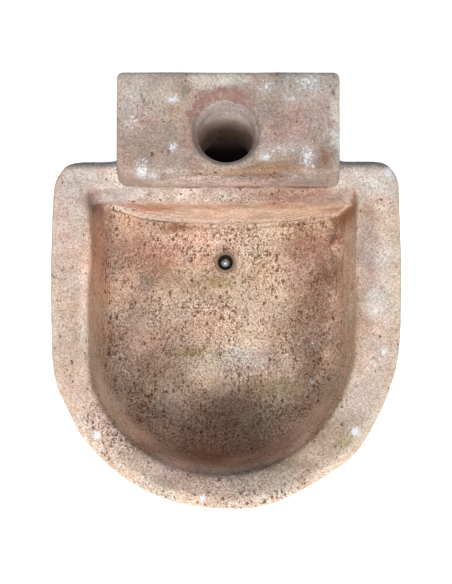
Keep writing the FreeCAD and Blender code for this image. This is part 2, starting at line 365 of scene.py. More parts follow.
def line_group() -> NodeTree:
    """Make the group of a thin line that crosses a surface from side to side, such as a crack or a joint.

    Returns:
        The group, whose mask is 1 on the line.
    """
    plan = GroupPlan(
        "line",
        {
            "Vector": (VECTOR, None), "Middle": (VECTOR, None), "Half Length": (FLOAT, 0.2),
            "Bow": (FLOAT, 0.0), "Left Rise": (FLOAT, 0.0), "Width": (FLOAT, 0.002),
            "Height Reach": (FLOAT, 0.01),
        },
        MASK,
    )
    pen, ins, out = plan.open()
    away = pen.vectors("SUBTRACT", ins["Vector"], ins["Middle"])
    parts = pen.add("ShaderNodeSeparateXYZ", {0: away}).outputs
    share = pen.maths("DIVIDE", parts[0], ins["Half Length"])
    bow = pen.times(pen.maths("POWER", pen.maths("ABSOLUTE", share), 2.0), ins["Bow"])
    rise = pen.times(pen.remap(share, (-0.55, -1.0)), ins["Left Rise"])
    off = pen.maths("ABSOLUTE", pen.minus(parts[1], pen.plus(bow, rise)))
    on_line = pen.minus(1.0, pen.remap(pen.maths("DIVIDE", off, ins["Width"]), (0.2, 1.0)))
    near = pen.maths("DIVIDE", pen.maths("ABSOLUTE", parts[2]), ins["Height Reach"])
    at_height = pen.minus(1.0, pen.remap(near, (0.6, 1.0)))
    ends = pen.minus(1.0, pen.remap(pen.maths("ABSOLUTE", share), (0.85, 1.0)))
    pen.feed(out.inputs["Mask"], pen.times(on_line, pen.times(at_height, ends)))
    return pen.tree


def streak_group() -> NodeTree:
    """Make the group of the streaks that a hand or brush leaves along a wall.

    Returns:
        The group, whose value lies around a half.
    """
    plan = GroupPlan("streaks", {"Vector": (VECTOR, None), "Scale": (FLOAT, 90.0)}, {"Streak": FLOAT})
    pen, ins, out = plan.open()
    bend = pen.noise(ins["Vector"], 22.0, 4.0, 0.65).outputs[1]
    bent = pen.shaken(ins["Vector"], bend, (0.0, 0.0, 0.09))
    along = pen.vectors("MULTIPLY", bent, (0.22, 0.22, 1.0))
    pen.feed(out.inputs["Streak"], pen.noise(along, ins["Scale"], 4.0, 0.7).outputs[0])
    return pen.tree


@dataclass
class Effects:
    """Shader groups that more than one finish uses."""

    grain: NodeTree = field(default_factory=grain_group)
    stain: NodeTree = field(default_factory=stain_group)
    flecks: NodeTree = field(default_factory=fleck_group)
    crust: NodeTree = field(default_factory=crust_group)
    line: NodeTree = field(default_factory=line_group)
    streaks: NodeTree = field(default_factory=streak_group)


@dataclass
class Bench:
    """What a finish is worked with: its tree, the shared groups, the object's coordinates and the grain."""

    pen: TreePen
    effects: Effects
    where: NodeSocket
    grain: dict[str, NodeSocket]


@dataclass(frozen=True)
class Finish:
    """What the finishes share: a material with a grain that also dents the surface."""

    name: str

    def build(self, effects: Effects) -> Material:
        """Make the material.

        Args:
            effects: The shared groups.

        Returns:
            The material.
        """
        material = bpy.data.materials.new(self.name)
        material.use_nodes = True
        pen = TreePen(material.node_tree)
        shader = material.node_tree.nodes["Principled BSDF"]
        where = pen.add("ShaderNodeTexCoord").outputs["Object"]
        grain = pen.placed(effects.grain, {"Vector": where, **self.grain_feeds(pen)})
        self.dress(Bench(pen, effects, where, dict(grain.outputs.items())), shader)
        bump = pen.add("ShaderNodeBump", {"Height": grain.outputs["Height"], "Distance": self.bump})
        pen.feed(shader.inputs["Normal"], bump.outputs[0])
        return material

    def grain_feeds(self, pen: TreePen) -> dict[str, object]:
        """Return what the grain's inputs get."""
        raise NotImplementedError

    def dress(self, bench: Bench, shader: Node) -> None:
        """Feed the shader its colour and roughness."""
        raise NotImplementedError


@dataclass(frozen=True)
class Stain:
    """A patch of another colour on a clay surface."""

    centre: Triple
    reach: Triple
    colour: Triple
    strength: float = 0.7
    softness: float = 0.7
    mode: str = "MIX"


def tone(centre: Triple, reach: Triple, colour: Triple) -> Stain:
    """Return a patch that multiplies what lies under it, most in its middle, used for painted light and shade
    as well as for real changes of tone.
    """
    return Stain(centre, reach, colour, 1.0, 1.0, "MULTIPLY")


@dataclass(frozen=True)
class Line:
    """A thin line of another colour across a clay surface."""

    middle: Triple
    half_length: float
    width: float
    height_reach: float
    colour: Triple
    strength: float
    bow: float = 0.0
    left_rise: float = 0.0


@dataclass(frozen=True)
class ClayFinish(Finish):
    """Old fired clay: colours for each part of the piece, streaks, grain, pits, lime and stains, with painted
    light and shade among the stains and the colours laid over them.
    """

    body: Triple
    marks: dict[Mark, Triple]
    stains: tuple[Stain, ...] = ()
    over: dict[Mark, Triple] = field(default_factory=dict)
    lines: tuple[Line, ...] = ()
    warm: Triple = (1.05, 0.99, 0.94)
    cool: Triple = (0.95, 0.98, 1.03)
    rose: Triple = (1.05, 0.955, 0.95)
    cream: Triple = (0.98, 1.01, 0.99)
    shade: Triple = (0.69, 0.61, 0.55)
    glow: Triple = (1.32, 1.38, 1.43)
    pale: Triple = (0.78, 0.66, 0.55)
    brightest: Triple = (0.98, 0.86, 0.76)
    pit_colour: Triple = (0.150, 0.068, 0.038)
    lime_colour: Triple = (0.74, 0.75, 0.78)
    rust_colour: Triple = (0.30, 0.15, 0.10)
    rust_scale: float = 90.0
    lime_scale: float = 260.0
    tint_span: Pair = (0.36, 0.64)
    mottle_span: Pair = (0.3, 0.7)
    blotch_span: Pair = (0.25, 0.75)
    wear_span: Pair = (0.35, 0.6)
    tint_depth: float = 0.75
    mottle_depth: float = 0.40
    blotch_depth: float = 0.25
    sand_depth: float = 0.60
    pepper_depth: float = 1.2
    streak_depth: float = 0.55
    pit_depth: float = 0.92
    dent_depth: float = 0.3
    fleck_depth: float = 0.6
    edge_wear: float = 0.3
    crease_dirt: float = 0.6
    least_wear: float = 0.2
    rust_haze: float = 0.45
    lime_haze: float = 0.35
    stain_wiggles: float = 30.0
    stain_ragged: float = 0.045
    line_wiggles: float = 60.0
    line_ragged: float = 0.004
    line_gaps: float = 0.4
    roughness: Pair = (0.82, 0.96)
    gloss: float = 0.25
    bump: float = 0.0006

    def grain_feeds(self, pen: TreePen) -> dict[str, object]:
        """Return what the grain's inputs get: as many pits as the mesh is painted for."""
        return {"Pit Share": pen.painted(Mark.PEPPER)}

    def dress(self, bench: Bench, shader: Node) -> None:
        """Lay the colours over each other and feed the shader.

        Args:
            bench: What the finish is worked with.
            shader: The material's shader.
        """
        colour = self.laid(bench.pen, self.body, self.marks)
        colour = self.stained(bench, colour)
        colour = self.laid(bench.pen, colour, self.over)
        colour = self.toned(bench, colour)
        colour = self.worn(bench, colour)
        colour = self.lined(bench, colour)
        colour = self.speckled(bench, colour)
        bench.pen.feed(shader.inputs["Base Color"], colour)
        rough = bench.pen.remap(bench.grain["Mottle"], self.mottle_span, self.roughness)
        bench.pen.feed(shader.inputs["Roughness"], rough)
        shader.inputs["Specular IOR Level"].default_value = self.gloss

    def ragged(self, bench: Bench, wiggles: float, reach: float) -> NodeSocket:
        """Return the object's coordinates shaken, with so many wiggles to a metre and so far."""
        noise = bench.pen.noise(bench.where, wiggles, 4.0, 0.7).outputs[1]
        return bench.pen.shaken(bench.where, noise, (reach,) * 3)

    def laid(self, pen: TreePen, colour: object, tints: dict[Mark, Triple]) -> object:
        """Lay colours over each other by the marks on the mesh.

        Args:
            pen: The material's tree.
            colour: The colour beneath.
            tints: The colour of each mark.

        Returns:
            The colour.
        """
        for mark, tint in tints.items():
            colour = pen.blend(pen.painted(mark), colour, tint)
        return colour

    def stained(self, bench: Bench, colour: object) -> object:
        """Lay the stains on, with ragged edges.

        Args:
            bench: What the finish is worked with.
            colour: The colour beneath.

        Returns:
            The stained colour.
        """
        pen = bench.pen
        where = self.ragged(bench, self.stain_wiggles, self.stain_ragged)
        for stain in self.stains:
            feeds = {"Centre": stain.centre, "Reach": stain.reach, "Softness": stain.softness}
            mask = pen.placed(bench.effects.stain, {"Vector": where, **feeds}).outputs[0]
            colour = pen.blend(pen.times(mask, stain.strength), colour, stain.colour, stain.mode)
        return colour

    def toned(self, bench: Bench, colour: object) -> object:
        """Vary a colour: warm and cool clouds, rose and cream ones, mottling, streaks on the walls and sand.

        Args:
            bench: What the finish is worked with.
            colour: The colour.

        Returns:
            The colour with its tones, never brighter than pale clay is.
        """
        pen, grain = bench.pen, bench.grain
        tints = pen.parts(grain["Tint"])
        streaks = pen.placed(bench.effects.streaks, {"Vector": bench.where}).outputs[0]
        wall = pen.times(pen.painted(Mark.STREAK), self.streak_depth)
        sandy = pen.plus(pen.times(pen.painted(Mark.PEPPER), self.pepper_depth), self.sand_depth)
        for value, span, under, over, depth in (
            (tints[0], self.tint_span, self.warm, self.cool, self.tint_depth),
            (tints[1], self.tint_span, self.rose, self.cream, self.tint_depth),
            (grain["Mottle"], self.mottle_span, self.shade, self.glow, self.mottle_depth),
            (streaks, self.mottle_span, self.shade, self.glow, wall),
            (grain["Blotch"], self.blotch_span, self.shade, self.glow, self.blotch_depth),
            (grain["Sand"], (0.0, 1.0), self.shade, self.glow, sandy),
        ):
            tint = pen.blend(pen.remap(value, span), under, over)
            colour = pen.blend(depth, colour, tint, "MULTIPLY")
        return pen.vectors("MINIMUM", colour, self.brightest)

    def worn(self, bench: Bench, colour: object) -> object:
        """Add pale wear on the edges and dirt in the creases.

        Args:
            bench: What the finish is worked with.
            colour: The colour beneath.

        Returns:
            The worn colour.
        """
        pen = bench.pen
        for mark, tint, most in (
            (Mark.EDGE, self.pale, self.edge_wear), (Mark.CREASE, self.pit_colour, self.crease_dirt),
        ):
            patchy = pen.remap(bench.grain["Blotch"], self.wear_span, (self.least_wear, most))
            colour = pen.blend(pen.times(pen.painted(mark), patchy), colour, tint)
        return colour

    def lined(self, bench: Bench, colour: object) -> object:
        """Draw the thin lines, broken up here and there.

        Args:
            bench: What the finish is worked with.
            colour: The colour beneath.

        Returns:
            The colour with its lines.
        """
        pen = bench.pen
        for line in self.lines:
            where = self.ragged(bench, self.line_wiggles, self.line_ragged)
            feeds = {"Vector": where, "Middle": line.middle, "Half Length": line.half_length, "Bow": line.bow,
                     "Left Rise": line.left_rise, "Width": line.width, "Height Reach": line.height_reach}
            mask = pen.placed(bench.effects.line, feeds).outputs[0]
            broken = (self.line_gaps * line.strength, line.strength)
            patchy = pen.remap(bench.grain["Mottle"], self.wear_span, broken)
            colour = pen.blend(pen.times(mask, patchy), colour, line.colour)
        return colour

    def speckled(self, bench: Bench, colour: object) -> object:
        """Add pits, rust, lime and flecks.

        Args:
            bench: What the finish is worked with.
            colour: The colour beneath.

        Returns:
            The finished colour.
        """
        pen, effects = bench.pen, bench.effects
        dent = pen.times(pen.painted(Mark.PITTED), self.dent_depth)
        pits = pen.maths("MAXIMUM", bench.grain["Pits"], dent)
        colour = pen.blend(pen.times(pits, self.pit_depth), colour, self.pit_colour)
        for mark, scale, haze, tint in (
            (Mark.RUST, self.rust_scale, self.rust_haze, self.rust_colour),
            (Mark.LIME, self.lime_scale, self.lime_haze, self.lime_colour),
        ):
            feeds = {"Vector": bench.where, "Scale": scale, "Haze": haze, "Amount": pen.painted(mark)}
            colour = pen.blend(pen.placed(effects.crust, feeds).outputs[0], colour, tint)
        flecks = pen.placed(effects.flecks, {"Vector": bench.where}).outputs[0]
        return pen.blend(pen.times(flecks, self.fleck_depth), colour, self.lime_colour)


@dataclass(frozen=True)
class MetalFinish(Finish):
    """Old metal under dirt and lime, with near-black soil and painted shade where the mesh is marked."""

    metal: Triple
    dirt: Triple
    dirty: float = 0.8
    clean_roughness: float = 0.35
    dirty_roughness: float = 0.9
    cover_span: Pair = (0.62, 0.74)
    cover_reach: float = 0.4
    bare_share: float = 0.5
    dirt_scale: float = 260.0
    sand_scale: float = 1500.0
    # near-black colour of soil and of painted shade in the drain's mouth
    soil: Triple = (0.012, 0.009, 0.007)
    gloss: float = 0.2
    bump: float = 0.0002

    def grain_feeds(self, pen: TreePen) -> dict[str, object]:
        """Return what the grain's inputs get."""
        return {"Mottle Scale": self.dirt_scale, "Sand Scale": self.sand_scale}

    def dress(self, bench: Bench, shader: Node) -> None:
        """Lay dirt over the metal, then near-black soil and painted shade where the mesh is marked, and feed
        the shader.

        Args:
            bench: What the finish is worked with.
            shader: The material's shader.
        """
        pen, grain = bench.pen, bench.grain
        span = tuple(edge - self.cover_reach * self.dirty for edge in self.cover_span)
        cover = pen.remap(grain["Mottle"], span)
        bare = pen.remap(grain["Blotch"], (0.3, 0.7), (0.0, self.bare_share))
        dirt = pen.blend(bare, self.dirt, self.metal)
        # Near-black where the mesh is marked: soil, and painted shade in the drain's mouth
        soil = pen.painted(Mark.SOIL)
        cover = pen.maths("MAXIMUM", cover, soil)
        colour = pen.blend(soil, pen.blend(cover, self.metal, dirt), self.soil)
        pen.feed(shader.inputs["Base Color"], colour)
        pen.feed(shader.inputs["Metallic"], pen.minus(1.0, cover))
        rough = pen.remap(cover, (0.0, 1.0), (self.clean_roughness, self.dirty_roughness))
        pen.feed(shader.inputs["Roughness"], rough)
        shader.inputs["Specular IOR Level"].default_value = self.gloss


@dataclass(frozen=True)
class SoftFinish(Finish):
    """Putty or rubber: one matt colour with a slow change of tone and a fine grain."""

    colour: Triple
    dusty: Triple
    roughness: float
    dust_scale: float = 180.0
    sand_scale: float = 1500.0
    bump: float = 0.0002

    def grain_feeds(self, pen: TreePen) -> dict[str, object]:
        """Return what the grain's inputs get."""
        return {"Mottle Scale": self.dust_scale, "Sand Scale": self.sand_scale}

    def dress(self, bench: Bench, shader: Node) -> None:
        """Lay dust over the colour and feed the shader.

        Args:
            bench: What the finish is worked with.
            shader: The material's shader.
        """
        dust = bench.pen.remap(bench.grain["Mottle"], (0.4, 0.7), (0.1, 0.7))
        bench.pen.feed(shader.inputs["Base Color"], bench.pen.blend(dust, self.colour, self.dusty))
        shader.inputs["Roughness"].default_value = self.roughness


def new_object(name: str, mesh: Mesh) -> Object:
    """Put a mesh into the scene.

    Args:
        name: The object's name.
        mesh: The mesh.

    Returns:
        The object, at the origin.
    """
    mesh.name = name
    made = bpy.data.objects.new(name, mesh)
    bpy.context.scene.collection.objects.link(made)
    return made


def object_from(shell: bmesh.types.BMesh, name: str) -> Object:
    """Put a worked shell into the scene and let go of it.

    Args:
        shell: The shell.
        name: The object's name.

    Returns:
        The object, at the origin.
    """
    mesh = bpy.data.meshes.new(name)
    shell.to_mesh(mesh)
    shell.free()
    return new_object(name, mesh)


def settled(piece: Object) -> None:
    """Turn a piece's modifiers into plain mesh.

    Args:
        piece: The object, which keeps its name and place.
    """
    graph = bpy.context.evaluated_depsgraph_get()
    mesh = bpy.data.meshes.new_from_object(piece.evaluated_get(graph))
    old = piece.data
    piece.modifiers.clear()
    piece.data = mesh
    bpy.data.meshes.remove(old)
    mesh.name = piece.name


def rows_of(items: bpy.types.bpy_prop_collection, what: str) -> Values:
    """Read a vector of each item of a mesh.

    Args:
        items: The items, such as vertices.
        what: The vector's name.

    Returns:
        The vectors, one row each.
    """
    rows = np.empty(len(items) * 3, np.float32)
    items.foreach_get(what, rows)
    return rows.reshape(-1, 3).astype(float)


def points_of(mesh: Mesh) -> Values:
    """Return the places of a mesh's vertices, one row each."""
    return rows_of(mesh.vertices, "co")


def normals_of(mesh: Mesh) -> Values:
    """Return the normals of a mesh's vertices, one row each."""
    return rows_of(mesh.vertex_normals, "vector")


def move_points(mesh: Mesh, places: Values) -> None:
    """Give a mesh's vertices new places, one row each."""
    mesh.vertices.foreach_set("co", places.astype(np.float32).ravel())
    mesh.update()


def paint(mesh: Mesh, mark: Mark, values: Values) -> None:
    """Write a value for each vertex, under the mark that the finish reads it by."""
    layer = mesh.attributes.get(mark.value) or mesh.attributes.new(mark.value, "FLOAT", "POINT")
    layer.data.foreach_set("value", values.astype(np.float32))


@dataclass(frozen=True)
class Ramp:
    """A smooth change from 0 at one place to 1 at another."""

    start: float
    end: float

    def __call__(self, values: Values) -> Values:
        """Return the share at each value, from 0 to 1."""
        share = np.clip((values - self.start) / (self.end - self.start), 0.0, 1.0)
        return share * share * (3.0 - 2.0 * share)


@dataclass(frozen=True)
class Hump:
    """A smooth rise to 1 at one place, which fades out on both sides."""

    centre: float
    width: float

    def __call__(self, values: Values) -> Values:
        """Return the share at each value, from 0 to 1."""
        return np.exp(-((values - self.centre) / self.width) ** 2)


def ends_of(mesh: Mesh) -> tuple[Values, Values, Values]:
    """Read the edges of a mesh.

    Args:
        mesh: The mesh.

    Returns:
        The first and the second vertex of each edge, and how many edges each vertex has.
    """
    ends = np.empty(len(mesh.edges) * 2, np.int32)
    mesh.edges.foreach_get("vertices", ends)
    count = np.maximum(np.bincount(ends, minlength=len(mesh.vertices)).astype(float), 1.0)
    first, second = ends.reshape(-1, 2).T
    return first, second, count


def neighbours(values: Values, ends: tuple[Values, Values, Values]) -> Values:
    """Return the mean of each vertex's neighbours.

    Args:
        values: One value for each vertex.
        ends: The edges, as ends_of reads them.

    Returns:
        The means.
    """
    first, second, count = ends
    near = np.bincount(first, values[second], len(values)) + np.bincount(second, values[first], len(values))
    return near / count


def bend_of(mesh: Mesh, rounds: int) -> Values:
    """Measure how a mesh bends at each vertex.

    Args:
        mesh: The mesh.
        rounds: How often the result is evened out among neighbours.

    Returns:
        One over twice the radius of the bend, above 0 on an edge and below 0 in a crease.
    """
    places, normals = points_of(mesh), normals_of(mesh)
    first, second, count = ends_of(mesh)
    step = places[second] - places[first]
    length = np.maximum((step ** 2).sum(1), 1e-12)
    bend = np.bincount(first, -(normals[first] * step).sum(1) / length, len(places))
    bend += np.bincount(second, (normals[second] * step).sum(1) / length, len(places))
    bend /= count
    for _ in range(rounds):
        bend = 0.5 * bend + 0.5 * neighbours(bend, (first, second, count))
    return bend


def soften(mesh: Mesh, shares: Values, rounds: int) -> None:
    """Round off the edges and creases of a mesh.

    Args:
        mesh: The mesh, of even faces.
        shares: How much each vertex takes part, from 0 to 1.
        rounds: How often each vertex moves towards the middle of its neighbours.
    """
    ends = ends_of(mesh)
    places = points_of(mesh)
    for _ in range(rounds):
        for axis in range(3):
            value = places[:, axis]
            places[:, axis] = value + shares * (neighbours(value, ends) - value)
    move_points(mesh, places)


@dataclass(frozen=True)
class Patch:
    """A soft-edged place on clay: a swell, a dent where its amount is negative, or a crowd of pits."""

    centre: Triple
    reach: Triple
    amount: float

    def over(self, places: Values) -> Values:
        """Return its amount at each point."""
        away = np.linalg.norm((places - np.array(self.centre)) / np.array(self.reach), axis=1)
        return self.amount * (1.0 - Ramp(0.0, 1.0)(away))


def total(patches: tuple[Patch, ...], places: Values) -> Values:
    """Return the sum of the patches at each point."""
    return sum((patch.over(places) for patch in patches), np.zeros(len(places)))


def around(pen: TreePen, where: object, scale: object, detail: float) -> NodeSocket:
    """Return noise from -1 to 1 about 0."""
    value = pen.noise(where, scale, detail, 0.55).outputs[0]
    return pen.times(pen.minus(value, 0.5), 2.0)


def worked_clay_tree() -> NodeTree:
    """Make the geometry tree that gives a clay mesh its hand-worked surface.

    Returns:
        The tree: slow swells, brush marks along steep faces, grain and pits, all fixed by a seed.
    """
    plan = GroupPlan(
        "worked_clay",
        {
            "Geometry": ("NodeSocketGeometry", None), "Finish": ("NodeSocketMaterial", None),
            **{name: (FLOAT, None) for name in (
                "Seed", "Swell Height", "Swell Scale", "Brush Height", "Brush Scale", "Grain Height",
                "Grain Scale", "Pit Depth", "Pit Scale", "Pit Share",
            )},
        },
        {"Geometry": "NodeSocketGeometry"},
        "GeometryNodeTree",
    )
    pen, ins, out = plan.open()
    place = pen.add("GeometryNodeInputPosition").outputs[0]
    where = pen.vectors("ADD", place, pen.add("ShaderNodeCombineXYZ", {0: ins["Seed"]}).outputs[0])
    along = pen.vectors("MULTIPLY", where, (0.2, 0.2, 1.0))
    swell = pen.times(around(pen, where, ins["Swell Scale"], 2.0), ins["Swell Height"])
    brush = pen.times(around(pen, along, ins["Brush Scale"], 2.0), ins["Brush Height"])
    grain = pen.times(around(pen, where, ins["Grain Scale"], 3.0), ins["Grain Height"])
    lift = pen.plus(pen.plus(swell, pen.times(brush, pen.stored(Mark.STREAK))), grain)
    cells = pen.cells(where, ins["Pit Scale"])
    chance = pen.add("FunctionNodeSeparateColor", {0: cells.outputs["Color"]}).outputs[0]
    hollow = pen.remap(cells.outputs["Distance"], (0.36, 0.10))
    share = pen.times(ins["Pit Share"], pen.stored(Mark.PEPPER))
    rest = pen.minus(1.0, pen.stored(Mark.CALM))
    pits = pen.times(pen.times(hollow, pen.maths("LESS_THAN", chance, share)), rest)
    lift = pen.minus(pen.times(lift, rest), pen.times(pits, ins["Pit Depth"]))
    normal = pen.add("GeometryNodeInputNormal").outputs[0]
    offset = pen.add("ShaderNodeVectorMath", {0: normal, "Scale": lift}, operation="SCALE").outputs[0]
    feeds = {"Geometry": ins["Geometry"], "Name": Mark.PITTED.value, "Value": pits}
    marked = pen.add("GeometryNodeStoreNamedAttribute", feeds, data_type="FLOAT", domain="POINT")
    moved = pen.add("GeometryNodeSetPosition", {"Geometry": marked.outputs[0], "Offset": offset})
    real = pen.add("GeometryNodeRealizeInstances", {0: moved.outputs[0]})
    dressed = pen.add("GeometryNodeSetMaterial", {"Geometry": real.outputs[0], "Material": ins["Finish"]})
    pen.feed(out.inputs[0], dressed.outputs[0])
    return pen.tree


@dataclass
class ClayTexture:
    """Heights and scales of a worked clay surface, for the geometry tree."""

    seed: float
    swell_height: float = 0.0016
    swell_scale: float = 9.0
    brush_height: float = 0.0007
    brush_scale: float = 85.0
    grain_height: float = 0.0006
    grain_scale: float = 130.0
    pit_depth: float = 0.0011
    pit_scale: float = 180.0
    pit_share: float = 0.3

    def apply(self, piece: Object, tree: NodeTree, finish: Material) -> None:
        """Work the surface of a piece.

        Args:
            piece: The piece.
            tree: The geometry tree, whose inputs have the names of these fields.
            finish: The material that the tree sets.
        """
        modifier = piece.modifiers.new("worked_clay", "NODES")
        modifier.node_group = tree
        values = {name.replace("_", " ").title(): value for name, value in vars(self).items()}
        values["Finish"] = finish
        for item in tree.interface.items_tree:
            if item.in_out == "INPUT" and item.name in values:
                modifier[item.identifier] = values[item.name]


@dataclass
class Workshop:
    """What the makers of the pieces share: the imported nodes, the shader groups and the clay tree."""

    nodes: dict[str, Object]
    effects: Effects = field(default_factory=Effects)
    clay_tree: NodeTree = field(default_factory=worked_clay_tree)


def merged_copy(node: Object, name: str, reach: float = 2e-6) -> Object:
    """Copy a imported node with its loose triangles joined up.

    Args:
        node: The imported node.
        name: The copy's name.
        reach: How near two vertices are to count as one.

    Returns:
        The copy.
    """
    shell = bmesh.new()
    shell.from_mesh(node.data)
    bmesh.ops.remove_doubles(shell, verts=shell.verts, dist=reach)
    return object_from(shell, name)


def turned_shell(profile: list[Pair], centre: Vector, sides: int) -> bmesh.types.BMesh:
    """Turn a closed profile about an upright axis.

    Args:
        profile: Points as radius and height, anticlockwise with the axis on the left.
        centre: A point of the axis.
        sides: How many steps one turn has.

    Returns:
        The closed shell.
    """
    shell = bmesh.new()
    turns = [2.0 * math.pi * k / sides for k in range(sides)]
    rings = []
    for radius, height in profile:
        if radius < 1e-9:
            rings.append([shell.verts.new((centre.x, centre.y, height))] * sides)
            continue
        rings.append([
            shell.verts.new((centre.x + radius * math.cos(turn), centre.y + radius * math.sin(turn), height))
            for turn in turns
        ])
    for ring, following in zip(rings, rings[1:] + rings[:1]):
        for k in range(sides):
            on = (k + 1) % sides
            corners = list(dict.fromkeys([ring[k], ring[on], following[on], following[k]]))
            if len(corners) > 2:
                shell.faces.new(corners)
    bmesh.ops.recalc_face_normals(shell, faces=shell.faces)
    return shell


@dataclass
class ClayPiece:
    """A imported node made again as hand-worked clay."""

    shop: Workshop
    node: str
    name: str
    voxel: float
    most_triangles: int
    finish: ClayFinish
    texture: ClayTexture
    soft_rounds: int = 0
    swells: tuple[Patch, ...] = ()
    pepper: tuple[Patch, ...] = ()
    lime: tuple[Patch, ...] = ()
    rust: tuple[Patch, ...] = ()
    base_pepper: float = 0.15
    sharp: Ramp = Ramp(15.0, 90.0)
    sharp_rounds: int = 3
    wall_y: float = 0.337

    def build(self) -> Object:
        """Make the piece.

        Returns:
            The finished object.
        """
        piece = merged_copy(self.shop.nodes[self.node], self.name)
        self.prepare(piece)
        remesh = piece.modifiers.new("even", "REMESH")
        remesh.mode = "VOXEL"
        remesh.voxel_size = self.voxel * 1.0
        settled(piece)
        self.shape(piece)
        self.texture.apply(piece, self.shop.clay_tree, self.finish.build(self.shop.effects))
        settled(piece)
        self.thin_out(piece)
        self.trim(piece)
        self.mark(piece)
        piece.data.shade_smooth()
        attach(piece, Body.FOUNTAIN.value)
        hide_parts(self.node)
        log.info("%s: %d faces", self.name, len(piece.data.polygons))
        return piece

    def prepare(self, piece: Object) -> None:
        """Change the merged copy before it is remeshed."""

    def trim(self, piece: Object) -> None:
        """Keep the piece off the ground line and off the wall behind it.

        Args:
            piece: The piece.
        """
        places = points_of(piece.data)
        places[:, 2] = np.maximum(places[:, 2], 0.0)
        places[:, 1] = np.minimum(places[:, 1], self.wall_y)
        move_points(piece.data, places)

    def softness(self, places: Values) -> Values:
        """Return how much each point is softened, from 0 to 1."""
        return np.zeros(len(places))

    def forms(self, places: Values, normals: Values) -> Values:
        """Return how far the piece's own forms shift each point, one row each."""
        return np.zeros_like(places)

    def worn(self, places: Values) -> Values:
        """Return how much wear shows on an edge at each point, from 0 to 1."""
        return np.ones(len(places))

    def calm(self, places: Values) -> Values:
        """Return 1 where the surface stays as the solid has it, and 0 elsewhere."""
        return np.zeros(len(places))

    def zones(self, places: Values, normals: Values) -> dict[Mark, Values]:
        """Work out the marks that follow from place and slope.

        Args:
            places: The points.
            normals: Their normals.

        Returns:
            The value of each mark at each point.
        """
        return {
            Mark.PEPPER: self.base_pepper + total(self.pepper, places),
            Mark.LIME: total(self.lime, places),
            Mark.RUST: total(self.rust, places),
            Mark.STREAK: np.zeros(len(places)),
        }

    def shape(self, piece: Object) -> None:
        """Soften the even mesh, press the local forms into it and mark where it stays calm.

        Args:
            piece: The remeshed piece.
        """
        mesh = piece.data
        calm = self.calm(points_of(mesh))
        soften(mesh, self.softness(points_of(mesh)) * (1.0 - calm), self.soft_rounds)
        places, normals = points_of(mesh), normals_of(mesh)
        shift = normals * total(self.swells, places)[:, None] + self.forms(places, normals)
        move_points(mesh, places + shift * (1.0 - calm)[:, None])
        paint(mesh, Mark.CALM, calm)
        self.paint_zones(mesh)

    def paint_zones(self, mesh: Mesh) -> None:
        """Paint the marks that follow from each point's place and slope."""
        for mark, values in self.zones(points_of(mesh), normals_of(mesh)).items():
            paint(mesh, mark, np.clip(values, 0.0, 1.0))

    def thin_out(self, piece: Object) -> None:
        """Bring the mesh under its number of triangles.

        Args:
            piece: The piece, whose faces have four corners.
        """
        triangles = 2 * len(piece.data.polygons)
        if triangles > self.most_triangles:
            thin = piece.modifiers.new("thin", "DECIMATE")
            thin.ratio = self.most_triangles / triangles
            settled(piece)

    def mark(self, piece: Object) -> None:
        """Paint the marks that the finish reads.

        Args:
            piece: The piece.
        """
        mesh = piece.data
        bend = bend_of(mesh, self.sharp_rounds)
        paint(mesh, Mark.EDGE, self.sharp(bend) * self.worn(points_of(mesh)))
        paint(mesh, Mark.CREASE, self.sharp(-bend))
        self.paint_zones(mesh)


@dataclass(frozen=True)
class BowlPlan:
    """Where the bowl lies in the basin."""

    rim_z: float = 0.280
    floor_z: float = 0.100
    centre_x: float = -0.006
    half_width: float = 0.213
    bow: float = 0.204
    bow_y: float = -0.077
    outer_half: float = 0.2785
    outer_bow: float = 0.2585
    back_y: float = 0.1745
    shoulder_run: float = 0.0205
    back_draft: float = 0.002
    back_bulge: float = 0.013

    def inside(self, places: Values) -> Values:
        """Measure how far points lie inside the bowl's inner edge in plan.

        Args:
            places: The points.

        Returns:
            The distances, below 0 outside it.
        """
        x, y = places[:, 0] - self.centre_x, places[:, 1]
        straight = self.half_width - np.abs(x)
        share = np.hypot(x / self.half_width, np.minimum(y - self.bow_y, 0.0) / self.bow)
        bowed = (1.0 - share) * self.bow
        return np.minimum(np.where(y > self.bow_y, straight, bowed), self.back_y - y)

    def from_outside(self, places: Values) -> Values:
        """Measure how far points lie inside the basin's outline in plan, apart from its back.

        Args:
            places: The points.

        Returns:
            The distances.
        """
        x, y = places[:, 0], places[:, 1]
        share = np.hypot(x / self.outer_half, np.minimum(y - self.bow_y, 0.0) / self.outer_bow)
        return np.where(y > self.bow_y, self.outer_half - np.abs(x), (1.0 - share) * self.outer_bow)

    def back_wall_y(self, places: Values) -> Values:
        """Return the y of the back wall's foot beside each point."""
        share = np.clip((places[:, 0] - self.centre_x) / self.half_width, -1.0, 1.0)
        return self.back_y - self.shoulder_run - self.back_draft - self.back_bulge * (1.0 - share ** 2)


